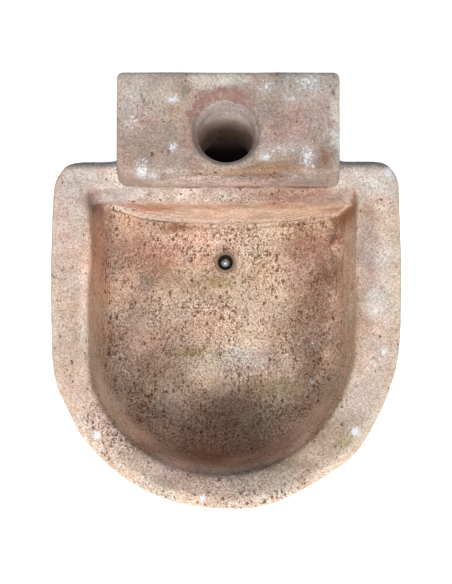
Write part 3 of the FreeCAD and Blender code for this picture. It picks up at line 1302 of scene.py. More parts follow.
@dataclass(frozen=True)
class BackFoot:
    """The foot of the bowl's back wall: a deep left corner, a roll of clay beside it, a lip and a crease.

    Places along the foot are measured from the bowl's middle, and heights from its floor.
    """

    plan: BowlPlan
    corner_recess: float = 0.014
    corner: Ramp = Ramp(-0.115, -0.200)
    middle_advance: float = 0.0024
    roll_height: float = 0.0045
    roll_rise: Hump = Hump(0.022, 0.022)
    roll_start: Ramp = Ramp(-0.05, -0.11)
    roll_end: Ramp = Ramp(-0.214, -0.200)
    lip_height: float = 0.0016
    lip_rise: Hump = Hump(0.012, 0.008)
    lip_reach: float = 0.012
    crease_depth: float = 0.0035
    crease: Hump = Hump(0.0030, 0.0026)
    crease_top: float = 0.004
    in_bowl: Ramp = Ramp(0.004, 0.012)
    off_rim: Ramp = Ramp(0.001, 0.006)
    low: Ramp = Ramp(0.245, 0.185)
    near: Ramp = Ramp(0.030, 0.006)

    def beside_roll(self, places: Values) -> Values:
        """Return 1 beside the roll of clay, which lies along the left part, and 0 away from it."""
        beside = places[:, 0] - self.plan.centre_x
        return self.roll_start(beside) * self.roll_end(beside)

    def roll(self, places: Values) -> Values:
        """Return 1 on that roll, and 0 away from it."""
        return self.roll_rise(places[:, 2] - self.plan.floor_z) * self.beside_roll(places)

    def drawn_back(self, places: Values) -> Values:
        """Work out how far the foot lies behind its packed place.

        Args:
            places: The points.

        Returns:
            The distances beside each point, less than 0 in the middle.
        """
        beside = places[:, 0] - self.plan.centre_x
        middle = 1.0 - np.clip(beside / self.plan.half_width, -1.0, 1.0) ** 2
        corner = self.corner_recess * self.corner(beside)
        return corner + self.roll_height * self.beside_roll(places) - self.middle_advance * middle

    def press(self, places: Values, normals: Values) -> Values:
        """Work out how the foot's forms shift each point.

        Args:
            places: The points.
            normals: Their normals.

        Returns:
            The shifts, one row each.
        """
        y, z = places[:, 1], places[:, 2]
        inside = self.plan.inside(places)
        in_bowl = self.in_bowl(inside) * (z > self.plan.floor_z / 2.0)
        wall_y = self.plan.back_wall_y(places)
        back = self.drawn_back(places)
        from_foot = wall_y + back - y
        shift = np.zeros_like(places)
        shift[:, 1] += back * (self.low(z) * self.near(wall_y - y)) * self.off_rim(inside)
        on_wall = in_bowl * (np.abs(from_foot) < self.lip_reach)
        swell = self.lip_height * self.lip_rise(z - self.plan.floor_z) + self.roll_height * self.roll(places)
        shift += normals * (on_wall * swell)[:, None]
        crease = self.crease(from_foot) * (z < self.plan.floor_z + self.crease_top)
        shift[:, 2] -= in_bowl * self.crease_depth * crease
        return shift


@dataclass(frozen=True)
class BasinZones:
    """Where the parts of the basin's surface begin and end, for its finish.

    A name that ends in x, y or z is a place, slope a part of a normal, and the others are distances from the
    bowl's edge, its floor or the rim.
    """

    plan: BowlPlan
    foot: BackFoot
    in_bowl: Ramp = Ramp(-0.006, 0.004)
    under_z: float = 0.08
    floor_rise: Ramp = Ramp(0.05, 0.012)
    floor_slope: Ramp = Ramp(0.15, 0.55)
    damp_rise: Ramp = Ramp(0.09, 0.02)
    damp_pits: float = 0.35
    bowl_pits: float = 0.12
    bowl_pits_y: float = 0.12
    brushed: float = 0.2
    brushed_right: float = 1.2
    brushed_back: float = 0.8
    brushed_left: float = 0.3
    right_x: Ramp = Ramp(0.09, 0.17)
    back_wall_y: Ramp = Ramp(0.10, 0.135)
    left_x: Ramp = Ramp(-0.12, -0.18)
    bore_x: float = 0.0
    bore_y: float = 0.2485
    bore_radius: float = 0.0495
    bore_z: Ramp = Ramp(0.0, 0.08)
    ledge: Hump = Hump(0.007, 0.007)
    ledge_low_z: float = 0.15
    ledge_front_y: Ramp = Ramp(0.02, -0.10)
    ledge_right_y: Ramp = Ramp(0.14, 0.09)
    ledge_end_y: Ramp = Ramp(-0.16, -0.24)
    ledge_right: float = 0.9
    ledge_end: float = 0.9
    behind_y: Ramp = Ramp(0.125, 0.135)
    behind_top_z: float = 0.24
    corner_x: float = 0.14
    fillet_start: Ramp = Ramp(0.10, 0.30)
    fillet_end: Ramp = Ramp(0.75, 0.55)
    fillet: float = 0.8
    nook_slope: Ramp = Ramp(0.3, 0.9)
    nook_y: Ramp = Ramp(0.112, 0.142)
    nook: float = 0.9
    outer_wide: float = 0.011
    outer_wider: float = 0.007
    outer_wider_y: Ramp = Ramp(-0.10, -0.20)
    outer_edge: Ramp = Ramp(0.004, -0.004)
    outer_worn: float = 0.8
    outer_less: float = 0.4
    outer_less_y: Ramp = Ramp(-0.02, 0.08)
    outer_low_z: float = 0.25
    outer_back_y: float = 0.19
    rim_drop: Ramp = Ramp(-0.016, -0.004)
    grey_y: Ramp = Ramp(0.2015, 0.2125)
    grey_z: Ramp = Ramp(0.262, 0.274)
    grey_end_y: float = 0.224
    shoulder_z: Ramp = Ramp(0.215, 0.262)
    shoulder_y: Ramp = Ramp(0.135, 0.145)

    def marks(self, places: Values, normals: Values) -> dict[Mark, Values]:
        """Work out the marks of all the parts.

        Args:
            places: The points.
            normals: Their normals.

        Returns:
            The value of each mark at each point.
        """
        x, y, z = places.T
        in_bowl = self.in_bowl(self.plan.inside(places)) * (z > self.under_z)
        level = self.floor_rise(z - self.plan.floor_z) * self.floor_slope(normals[:, 2])
        in_bore = np.hypot(x - self.bore_x, y - self.bore_y) < self.bore_radius
        brushed = self.brushed + self.brushed_right * self.right_x(x) + self.brushed_left * self.left_x(x)
        brushed += self.brushed_back * self.back_wall_y(y)
        return {
            # painted light that comes down the pedestal's bore
            Mark.BORE: in_bore * self.bore_z(z),
            # painted highlight on the roll of clay and the right corner's fillet
            Mark.ROLL: in_bowl * self.rolled(places, normals, level),
            # painted shade in the bowl's right back corner
            Mark.NOOK: self.nook * in_bowl * self.nook_slope(self.facing_left(x, normals)) * self.nook_y(y),
            # painted light under the inner rim edge, on walls that lie in shade
            Mark.LEDGE: self.ledge_mark(places),
            # paler outer edge: wear, with painted light on the rounding that faces the light
            Mark.OUTER: self.outer_mark(places),
            Mark.STREAK: in_bowl * (1.0 - level) * np.minimum(brushed, 1.0),
            Mark.RIM: self.rim_drop(z - self.plan.rim_z),
            Mark.BACK: self.grey_y(y) * self.grey_z(z) * (y < self.grey_end_y),
            Mark.SHOULDER: in_bowl * self.shoulder_z(z) * self.shoulder_y(y),
            Mark.WALL: in_bowl * (1.0 - level),
            Mark.FLOOR: in_bowl * level,
        }

    def pits(self, places: Values, on_rim: float) -> Values:
        """Work out how many pits there are: more towards the bowl's floor.

        Args:
            places: The points.
            on_rim: How many there are on the rim.

        Returns:
            Their share at each point.
        """
        y, z = places[:, 1], places[:, 2]
        in_bowl = self.in_bowl(self.plan.inside(places)) * (z > self.under_z)
        damp = self.damp_pits * self.damp_rise(z - self.plan.floor_z)
        return on_rim * (1.0 - in_bowl) + in_bowl * np.maximum(damp, self.bowl_pits * (y < self.bowl_pits_y))

    def facing_left(self, x: Values, normals: Values) -> Values:
        """Return how far each point by the bowl's right end faces left."""
        return -normals[:, 0] * (x > self.corner_x)

    def rolled(self, places: Values, normals: Values, level: Values) -> Values:
        """Find where a highlight is painted: on the back wall's roll of clay and on the fillet of its right
        corner.

        Args:
            places: The points.
            normals: Their normals.
            level: Where the floor is.

        Returns:
            1 on them and 0 elsewhere and on the floor.
        """
        x, y, z = places.T
        facing = self.facing_left(x, normals)
        fillet = self.fillet_start(facing) * self.fillet_end(facing) * (1.0 - level)
        rolled = np.maximum(self.foot.roll(places) * (1.0 - level), self.fillet * fillet)
        return self.behind_y(y) * (z < self.behind_top_z) * rolled

    def ledge_mark(self, places: Values) -> Values:
        """Find the pale band of painted light under the inner rim edge, at the front and the right, where the
        steep walls lie in shade.

        Args:
            places: The points.

        Returns:
            1 on it and 0 elsewhere.
        """
        x, y, z = places.T
        right = self.ledge_right * (x > 0.0) * self.ledge_right_y(y)
        along = np.maximum(self.ledge_front_y(y), right) * (1.0 - self.ledge_end * self.ledge_end_y(y))
        return self.ledge(self.plan.inside(places)) * (z > self.ledge_low_z) * along

    def outer_mark(self, places: Values) -> Values:
        """Work out how pale the rim's outer edge is, from wear and from painted light on the rounding that
        faces the light: less at the back of the left side.

        Args:
            places: The points.

        Returns:
            The paleness at each point, wear and painted light together.
        """
        x, y, z = places.T
        wide = self.outer_wide + self.outer_wider * self.outer_wider_y(y)
        # Paler outer edge: wear, with painted light on the rounding that faces the light
        worn = self.outer_worn - self.outer_less * self.outer_less_y(y) * (x < 0.0)
        near = self.outer_edge(self.plan.from_outside(places) - wide)
        return worn * near * (z > self.outer_low_z) * (y < self.outer_back_y)


BOWL = BowlPlan()
BACK_FOOT = BackFoot(BOWL)
BASIN_ZONES = BasinZones(BOWL, BACK_FOOT)


@dataclass
class Basin(ClayPiece):
    """The basin with its hollow foot and the pedestal behind it."""

    plan: BowlPlan = BOWL
    foot: BackFoot = BACK_FOOT
    parts: BasinZones = BASIN_ZONES
    drain_recess: float = 0.0185
    drain_neck: float = 0.0150
    drain_hole: float = 0.0110
    drain_filler: float = 0.0190
    recess_chamfer: float = 0.0012
    chamfer_low: float = 0.0008
    chamfer_high: float = 0.0004
    cut_above: float = 0.02
    cut_below: float = 0.01
    cut_sides: int = 72
    filler_sides: int = 48
    floor_under_z: float = 0.050
    recess_z: float = 0.0945
    neck_end_z: float = 0.0865
    bed_front_y: float = 0.172
    bed_half: float = 0.1770
    bed_x: float = 0.003
    bed_low: float = 0.0015
    round_drain: Ramp = Ramp(0.024, 0.034)
    drain_top_z: float = 0.11
    ground: Ramp = Ramp(0.0002, 0.003)
    soft_rim: Hump = Hump(0.0, 0.014)
    soft_rim_z: Ramp = Ramp(0.250, 0.262)
    soft_rim_y: Ramp = Ramp(0.168, 0.150)
    soft_front_y: Ramp = Ramp(0.02, -0.12)
    soft_front: float = 0.40
    soft_back: float = 0.60
    soft_outer: float = 0.5
    soft_outer_z: Ramp = Ramp(0.245, 0.260)
    soft_outer_edge: Ramp = Ramp(-0.028, -0.036)
    soft_shoulder: float = 0.8
    soft_shoulder_z: Hump = Hump(0.250, 0.010)
    soft_shoulder_y: Ramp = Ramp(0.13, 0.14)
    soft_shoulder_edge: float = 0.004
    rim_bulge: float = 0.005
    rim_bulge_y: Hump = Hump(0.078, 0.05)
    rim_bulge_x: Hump = Hump(-0.219, 0.012)
    rim_bulge_z: Ramp = Ramp(0.225, 0.262)
    side_bow: float = 0.0022
    side_bow_y: float = 0.02
    side_bow_half: float = 0.20
    side_back_y: float = 0.22
    side_edge: Ramp = Ramp(0.03, 0.055)
    side_slope: Ramp = Ramp(0.3, 0.8)
    lean: float = 0.0042
    lean_side_y: Ramp = Ramp(-0.05, -0.17)
    lean_front_y: Ramp = Ramp(-0.22, -0.32)
    inner_wear: float = 0.9
    inner_edge: Ramp = Ramp(-0.004, 0.002)

    def drain(self) -> Vector:
        """Return a point of the drain's axis."""
        low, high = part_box("drain_tail")
        return (low + high) / 2.0

    def prepare(self, piece: Object) -> None:
        """Fill the drain hole, which is cut again once the mesh is worked.

        Args:
            piece: The copy.
        """
        centre = self.drain()
        height = self.plan.floor_z - self.floor_under_z
        middle = Vector((centre.x, centre.y, self.floor_under_z + height / 2.0))
        shell = bmesh.new()
        shell.from_mesh(piece.data)
        bmesh.ops.create_cone(
            shell, cap_ends=True, segments=self.filler_sides, radius1=self.drain_filler,
            radius2=self.drain_filler, depth=height, matrix=Matrix.Translation(middle),
        )
        shell.to_mesh(piece.data)
        shell.free()

    def softness(self, places: Values) -> Values:
        """Work out how much points are softened: most on the front of the inner rim edge.

        Args:
            places: The points.

        Returns:
            The shares, from 0 to 1.
        """
        y, z = places[:, 1], places[:, 2]
        inside = self.plan.inside(places)
        front = self.soft_back + self.soft_front * self.soft_front_y(y)
        inner = self.soft_rim(inside) * self.soft_rim_z(z) * self.soft_rim_y(y)
        outer = self.soft_outer * self.soft_outer_z(z) * self.soft_outer_edge(inside)
        shoulder = self.soft_shoulder_z(z) * self.soft_shoulder_y(y) * (inside > self.soft_shoulder_edge)
        return np.maximum.reduce([front * inner, outer, self.soft_shoulder * shoulder])

    def forms(self, places: Values, normals: Values) -> Values:
        """Work out the shifts of the back wall's foot, the left rim edge, the sides and the leaning front.

        Args:
            places: The points.
            normals: Their normals.

        Returns:
            The shifts, one row each.
        """
        x, y, z = places.T
        shift = self.foot.press(places, normals)
        shift[:, 0] += self.rim_bulge * self.rim_bulge_y(y) * self.rim_bulge_x(x) * self.rim_bulge_z(z)
        shift[:, 0] -= self.lean * self.lean_side_y(y)
        shift[:, 1] -= self.lean / 2.0 * self.lean_front_y(y)
        outer = self.side_edge(-self.plan.inside(places)) * self.side_slope(np.abs(normals[:, 0]))
        along = np.clip((y - self.side_bow_y) / self.side_bow_half, -1.0, 1.0)
        bow = self.side_bow * np.cos(along * math.pi) * outer * (y < self.side_back_y)
        return shift + normals * bow[:, None]

    def worn(self, places: Values) -> Values:
        """Return how much wear shows on an edge: little inside the bowl."""
        return 1.0 - self.inner_wear * self.inner_edge(self.plan.inside(places))

    def calm(self, places: Values) -> Values:
        """Find what stays as the solid has it: under the mortar bed, round the drain and on the ground.

        Args:
            places: The points.

        Returns:
            1 there and 0 elsewhere.
        """
        x, y, z = places.T
        over_bed = (y > self.bed_front_y) & (np.abs(x - self.bed_x) < self.bed_half)
        bed = over_bed & (z > self.plan.rim_z - self.bed_low)
        centre = self.drain()
        by_drain = 1.0 - self.round_drain(np.hypot(x - centre.x, y - centre.y))
        drain = by_drain * (z > self.floor_under_z / 2.0) * (z < self.drain_top_z)
        return np.maximum.reduce([bed.astype(float), drain, 1.0 - self.ground(z)])

    def trim(self, piece: Object) -> None:
        """Keep the piece off the ground line and the wall, and cut the stepped drain hole.

        Args:
            piece: The piece.
        """
        super().trim(piece)
        floor_z, chamfer = self.plan.floor_z, self.drain_recess + self.recess_chamfer
        above, below = floor_z + self.cut_above, self.floor_under_z - self.cut_below
        profile = [
            (0.0, below), (self.drain_hole, below), (self.drain_hole, self.neck_end_z),
            (self.drain_neck, self.neck_end_z), (self.drain_neck, self.recess_z),
            (self.drain_recess, self.recess_z), (self.drain_recess, floor_z - self.chamfer_low),
            (chamfer, floor_z + self.chamfer_high), (chamfer, above), (0.0, above),
        ]
        cutter = object_from(turned_shell(profile, self.drain(), self.cut_sides), "drain_cutter")
        cut = piece.modifiers.new("drain", "BOOLEAN")
        cut.operation = "DIFFERENCE"
        cut.solver = "EXACT"
        cut.object = cutter
        settled(piece)
        bpy.data.objects.remove(cutter)

    def zones(self, places: Values, normals: Values) -> dict[Mark, Values]:
        """Work out the marks of every clay piece and those of the basin's own parts.

        Args:
            places: The points.
            normals: Their normals.

        Returns:
            The value of each mark at each point.
        """
        marks = super().zones(places, normals)
        marks.update(self.parts.marks(places, normals))
        marks[Mark.PEPPER] += self.parts.pits(places, self.base_pepper) - self.base_pepper
        return marks


@dataclass
class PipeBlock(ClayPiece):
    """The bored block on the pedestal."""

    top_z: float = 0.360
    bed_face: Ramp = Ramp(0.2832, 0.286)
    soft: float = 0.45
    softer: float = 0.55
    softer_y: Ramp = Ramp(0.21, 0.19)
    softer_drop: float = 0.05
    bore_x: float = 0.0
    bore_y: float = 0.2485
    bore_radius: float = 0.0475
    arc: Hump = Hump(0.057, 0.011)
    arc_rust: float = 0.68
    arc_drop: float = 0.022
    arc_start: Ramp = Ramp(0.7, 1.2)
    arc_end: Ramp = Ramp(3.2, 2.6)

    def softness(self, places: Values) -> Values:
        """Return how much each point is softened: most along the front of the top."""
        y, z = places[:, 1], places[:, 2]
        return self.soft + self.softer * self.softer_y(y) * (z > self.top_z - self.softer_drop)

    def zones(self, places: Values, normals: Values) -> dict[Mark, Values]:
        """Work out the marks, with the inside of the bore and the red arc behind its mouth among them.

        Args:
            places: The points.
            normals: Their normals.

        Returns:
            The value of each mark at each point.
        """
        x, y = places[:, 0] - self.bore_x, places[:, 1] - self.bore_y
        away = np.hypot(x, y)
        turn = np.arctan2(y, x)
        marks = super().zones(places, normals)
        # Pale inside the bore: painted light that comes down it
        marks[Mark.BORE] = (away < self.bore_radius).astype(float)
        arc = self.arc(away) * (places[:, 2] > self.top_z - self.arc_drop)
        marks[Mark.RUST] += self.arc_rust * arc * self.arc_start(turn) * self.arc_end(turn)
        return marks

    def calm(self, places: Values) -> Values:
        """Return 1 on the face that lies on the mortar, and 0 elsewhere."""
        return 1.0 - self.bed_face(places[:, 2])


@dataclass
class MortarBed(ClayPiece):
    """The lime mortar between pedestal and block."""


BASIN_STAINS = (
    # Rim
    Stain((0.0, -0.315, 0.28), (0.3, 0.17, 0.05), (0.46, 0.37, 0.31), 1.0),
    Stain((-0.16, -0.285, 0.28), (0.05, 0.03, 0.03), (0.6, 0.49, 0.41)),
    Stain((-0.08, -0.292, 0.28), (0.07, 0.03, 0.03), (0.38, 0.29, 0.25)),
    Stain((-0.26, 0.06, 0.28), (0.028, 0.16, 0.03), (0.56, 0.43, 0.36)),
    Stain((-0.224, -0.004, 0.28), (0.014, 0.11, 0.02), (0.78, 0.73, 0.68), 0.5),
    Stain((-0.244, 0.17, 0.28), (0.035, 0.035, 0.03), (0.45, 0.36, 0.3)),
    Stain((0.222, 0.06, 0.28), (0.022, 0.15, 0.03), (0.43, 0.33, 0.29), 0.8),
    Stain((0.252, 0.06, 0.28), (0.014, 0.13, 0.03), (0.62, 0.54, 0.48), 0.8),
    Stain((0.234, -0.012, 0.28), (0.018, 0.035, 0.03), (0.64, 0.6, 0.56)),
    Stain((0.273, -0.004, 0.27), (0.01, 0.18, 0.03), (0.52, 0.4, 0.33), 0.8),
    Stain((-0.192, -0.2, 0.28), (0.045, 0.045, 0.03), (0.5, 0.37, 0.31)),
    Stain((0.1, 0.164, 0.265), (0.1, 0.022, 0.03), (0.42, 0.28, 0.22), 0.6),
    Stain((0.193, -0.23, 0.28), (0.035, 0.022, 0.03), (0.52, 0.45, 0.26)),
    # darker along the front rim's inner edge: painted shade where the edge turns away from the light
    Stain((0.06, -0.266, 0.275), (0.12, 0.018, 0.03), (0.22, 0.18, 0.12)),
    Stain((0.212, -0.162, 0.28), (0.04, 0.05, 0.03), (0.52, 0.4, 0.35)),
    # Walls, from the back round to the front
    Stain((0.0, 0.153, 0.235), (0.25, 0.03, 0.03), (0.56, 0.34, 0.24), 0.8),
    Stain((0.0, 0.14, 0.108), (0.25, 0.025, 0.02), (0.66, 0.52, 0.4), 0.6),
    # painted shade in the bowl's left back corner
    Stain((-0.217, 0.16, 0.24), (0.024, 0.03, 0.1), (0.24, 0.16, 0.145), 0.85, 1.0),
    # darker front wall: partly painted shade, as the wall faces away from the light
    Stain((0.0, -0.26, 0.16), (0.19, 0.07, 0.17), (0.37, 0.265, 0.205), 0.9),
    Stain((-0.03, -0.26, 0.16), (0.05, 0.05, 0.06), (0.34, 0.19, 0.145), 0.8),
    # Floor
    Stain((-0.13, 0.09, 0.1), (0.09, 0.08, 0.03), (0.38, 0.24, 0.18), 0.9),
    Stain((-0.15, -0.085, 0.1), (0.07, 0.09, 0.03), (0.42, 0.3, 0.25)),
    Stain((-0.14, 0.03, 0.1), (0.028, 0.028, 0.02), (0.28, 0.23, 0.2)),
    Stain((0.15, -0.02, 0.1), (0.055, 0.12, 0.03), (0.27, 0.18, 0.14), 0.85),
    Stain((0.15, 0.075, 0.1), (0.08, 0.09, 0.03), (0.34, 0.22, 0.17), 0.9),
    Stain((-0.01, 0.0, 0.1), (0.12, 0.08, 0.03), (0.6, 0.47, 0.38), 0.6),
    Stain((-0.045, 0.118, 0.1), (0.13, 0.03, 0.03), (0.62, 0.45, 0.34), 0.6),
    Stain((0.028, -0.108, 0.1), (0.11, 0.05, 0.03), (0.46, 0.39, 0.33), 0.9),
    Stain((-0.016, 0.034, 0.1), (0.04, 0.018, 0.03), (0.38, 0.3, 0.16)),
    Stain((-0.064, -0.09, 0.1), (0.04, 0.015, 0.03), (0.36, 0.28, 0.14)),
    Stain((0.074, -0.155, 0.1), (0.09, 0.026, 0.03), (0.36, 0.3, 0.19), 0.8),
    # darker front of the floor: a stain, with painted shadow of the front rim
    Stain((0.034, -0.205, 0.11), (0.14, 0.05, 0.04), (0.33, 0.235, 0.165), 0.85),
    # Walls again, over the floor's edge
    Stain((-0.212, 0.04, 0.2), (0.03, 0.13, 0.14), (0.7, 0.43, 0.31), 0.9),
    Stain((-0.202, -0.06, 0.14), (0.022, 0.05, 0.08), (0.42, 0.22, 0.15), 0.6),
    Stain((-0.12, 0.158, 0.2), (0.08, 0.02, 0.07), (0.6, 0.36, 0.25), 0.8),
    Stain((-0.2, -0.14, 0.22), (0.04, 0.05, 0.09), (0.66, 0.53, 0.41), 0.8),
    # pale high on the right wall: partly painted light on the wall, which lies in shade
    Stain((0.207, 0.05, 0.24), (0.012, 0.11, 0.05), (0.8, 0.66, 0.53)),
    Stain((-0.09, 0.128, 0.1), (0.03, 0.012, 0.02), (0.4, 0.2, 0.11), 0.6),
    # Stone in the right wall with a painted shadow ring and a painted highlight on top, painted shade deep in
    # the bore, and a dark stain round the drain
    # stone: a painted shadow ring round it, then a painted highlight on its top
    Stain((0.198, 0.094, 0.122), (0.038, 0.033, 0.044), (0.36, 0.22, 0.165), 0.55),
    Stain((0.197, 0.094, 0.132), (0.026, 0.022, 0.036), (0.6, 0.45, 0.36), 0.9, 0.6),
    # painted shade deep in the bore, near-black towards its foot
    Stain((0.0, 0.2485, -0.06), (0.12, 0.12, 0.2), (0.06, 0.04, 0.042), 0.9, 1.0),
    Stain((-0.001, 0.07, 0.1), (0.034, 0.034, 0.02), (0.24, 0.165, 0.12), 0.9, 0.9),
    # Lighter and darker places: painted light on the walls, which lie in shade, painted shadow on the front
    # of the floor, painted shade in the back corners and atop the bore, and real changes of tone
    # painted light on the left wall, which lies in shade
    tone((-0.196, -0.15, 0.16), (0.06, 0.09, 0.14), (1.85, 2.0, 2.15)),
    tone((-0.17, -0.222, 0.17), (0.085, 0.065, 0.12), (1.45, 1.5, 1.54)),
    tone((-0.152, -0.176, 0.1), (0.045, 0.04, 0.04), (1.4, 1.26, 1.18)),
    tone((-0.052, -0.268, 0.25), (0.13, 0.035, 0.06), (1.4, 1.52, 1.64)),
    # painted light on the right wall, which lies in shade
    tone((0.186, -0.15, 0.14), (0.06, 0.09, 0.12), (1.85, 1.86, 1.8)),
    tone((0.15, -0.21, 0.15), (0.07, 0.05, 0.1), (1.25, 1.32, 1.4)),
    tone((0.098, -0.214, 0.11), (0.085, 0.045, 0.06), (1.45, 1.6, 1.68)),
    # painted shadow of the front rim on the front of the floor
    tone((-0.004, -0.178, 0.1), (0.12, 0.06, 0.05), (0.44, 0.46, 0.46)),
    tone((-0.084, -0.086, 0.1), (0.075, 0.095, 0.04), (0.62, 0.62, 0.64)),
    tone((-0.155, -0.004, 0.1), (0.06, 0.075, 0.04), (0.62, 0.6, 0.58)),
    tone((-0.08, 0.038, 0.1), (0.07, 0.045, 0.04), (0.68, 0.67, 0.64)),
    tone((-0.008, 0.028, 0.1), (0.08, 0.045, 0.04), (0.8, 0.78, 0.74)),
    tone((0.098, -0.042, 0.1), (0.05, 0.095, 0.04), (0.74, 0.72, 0.7)),
    tone((0.175, 0.045, 0.11), (0.04, 0.06, 0.06), (0.74, 0.71, 0.66)),
    tone((0.132, 0.06, 0.1), (0.045, 0.05, 0.04), (1.32, 1.42, 1.58)),
    tone((0.164, -0.016, 0.1), (0.04, 0.05, 0.04), (0.8, 0.78, 0.76)),
    tone((0.15, -0.105, 0.1), (0.045, 0.06, 0.04), (0.6, 0.54, 0.48)),
    tone((-0.126, -0.125, 0.1), (0.06, 0.07, 0.04), (0.76, 0.7, 0.64)),
    tone((-0.01, -0.216, 0.11), (0.14, 0.035, 0.05), (1.22, 1.2, 1.16)),
    tone((-0.192, 0.085, 0.11), (0.036, 0.08, 0.05), (0.72, 0.71, 0.72)),
    # painted shade in the left back corner
    tone((-0.208, 0.152, 0.18), (0.032, 0.04, 0.12), (0.58, 0.57, 0.64)),
    tone((-0.125, 0.158, 0.2), (0.09, 0.024, 0.07), (0.82, 0.68, 0.6)),
    # painted shade in the right back corner
    tone((0.205, 0.14, 0.17), (0.035, 0.04, 0.12), (0.82, 0.74, 0.68)),
    tone((-0.263, 0.06, 0.27), (0.03, 0.1, 0.06), (1.02, 1.1, 1.18)),
    tone((0.018, -0.09, 0.1), (0.07, 0.04, 0.04), (1.18, 1.28, 1.36)),
    tone((-0.108, 0.098, 0.1), (0.085, 0.055, 0.04), (1.38, 1.4, 1.48)),
    tone((-0.004, 0.108, 0.1), (0.07, 0.035, 0.04), (1.22, 1.26, 1.32)),
    tone((-0.208, -0.03, 0.2), (0.036, 0.12, 0.14), (1.38, 1.46, 1.5)),
    tone((-0.208, 0.06, 0.22), (0.03, 0.09, 0.12), (1.1, 1.2, 1.3)),
    tone((-0.066, 0.16, 0.265), (0.14, 0.032, 0.05), (1.38, 1.52, 1.58)),
    tone((0.13, 0.16, 0.265), (0.1, 0.032, 0.05), (0.84, 0.74, 0.72)),
    tone((-0.205, 0.186, 0.28), (0.11, 0.06, 0.05), (1.12, 1.3, 1.42)),
    tone((0.232, 0.186, 0.28), (0.1, 0.06, 0.05), (1.06, 1.24, 1.36)),
    tone((0.212, -0.036, 0.27), (0.03, 0.09, 0.08), (0.84, 0.72, 0.62)),
    tone((-0.232, -0.044, 0.28), (0.032, 0.065, 0.05), (0.84, 0.76, 0.7)),
    tone((0.166, -0.226, 0.28), (0.08, 0.07, 0.05), (0.72, 0.63, 0.56)),
    tone((0.02, -0.276, 0.25), (0.16, 0.04, 0.08), (0.74, 0.78, 0.82)),
    tone((-0.135, -0.248, 0.24), (0.06, 0.04, 0.08), (0.76, 0.7, 0.66)),
    tone((-0.02, -0.24, 0.13), (0.12, 0.04, 0.05), (1.25, 1.22, 1.2)),
    tone((-0.188, -0.198, 0.26), (0.035, 0.05, 0.06), (1.35, 1.38, 1.42)),
    tone((-0.15, -0.264, 0.28), (0.04, 0.03, 0.04), (0.86, 0.82, 0.78)),
    tone((-0.207, -0.045, 0.13), (0.022, 0.055, 0.06), (1.35, 1.32, 1.28)),
    tone((-0.213, 0.0, 0.2), (0.02, 0.15, 0.12), (1.14, 1.13, 1.12)),
    # painted light on the right wall, which lies in shade
    tone((0.197, -0.13, 0.2), (0.03, 0.065, 0.12), (1.6, 1.58, 1.54)),
    tone((0.206, 0.02, 0.21), (0.02, 0.15, 0.09), (1.26, 1.22, 1.14)),
    tone((0.186, 0.148, 0.18), (0.03, 0.025, 0.06), (0.78, 0.72, 0.68)),
    tone((0.19, 0.048, 0.17), (0.04, 0.028, 0.12), (0.82, 0.76, 0.72)),
    tone((0.228, 0.139, 0.28), (0.028, 0.03, 0.04), (0.84, 0.74, 0.66)),
    tone((-0.215, 0.162, 0.27), (0.035, 0.03, 0.05), (1.1, 1.0, 0.9)),
    tone((0.135, -0.134, 0.1), (0.032, 0.03, 0.03), (0.72, 0.7, 0.68)),
    tone((-0.08, -0.14, 0.1), (0.032, 0.028, 0.03), (0.78, 0.76, 0.74)),
    # painted shade at the top of the pedestal's bore
    tone((0.0, 0.296, 0.268), (0.08, 0.03, 0.04), (0.62, 0.62, 0.62)),
    tone((-0.208, 0.09, 0.16), (0.022, 0.07, 0.1), (1.22, 1.26, 1.3)),
    tone((-0.196, -0.145, 0.2), (0.032, 0.06, 0.1), (1.5, 1.5, 1.5)),
    tone((-0.168, -0.226, 0.25), (0.03, 0.028, 0.06), (1.28, 1.3, 1.32)),
    tone((-0.01, -0.262, 0.25), (0.13, 0.025, 0.06), (1.25, 1.28, 1.36)),
    tone((0.122, -0.228, 0.24), (0.045, 0.03, 0.07), (1.22, 1.28, 1.38)),
    tone((0.17, -0.176, 0.22), (0.04, 0.05, 0.09), (1.24, 1.27, 1.32)),
    tone((0.17, 0.052, 0.12), (0.03, 0.03, 0.08), (0.8, 0.78, 0.76)),
    tone((-0.08, -0.289, 0.28), (0.05, 0.022, 0.03), (0.86, 0.82, 0.78)),
    tone((0.056, -0.289, 0.28), (0.05, 0.022, 0.03), (0.9, 0.84, 0.78)),
)
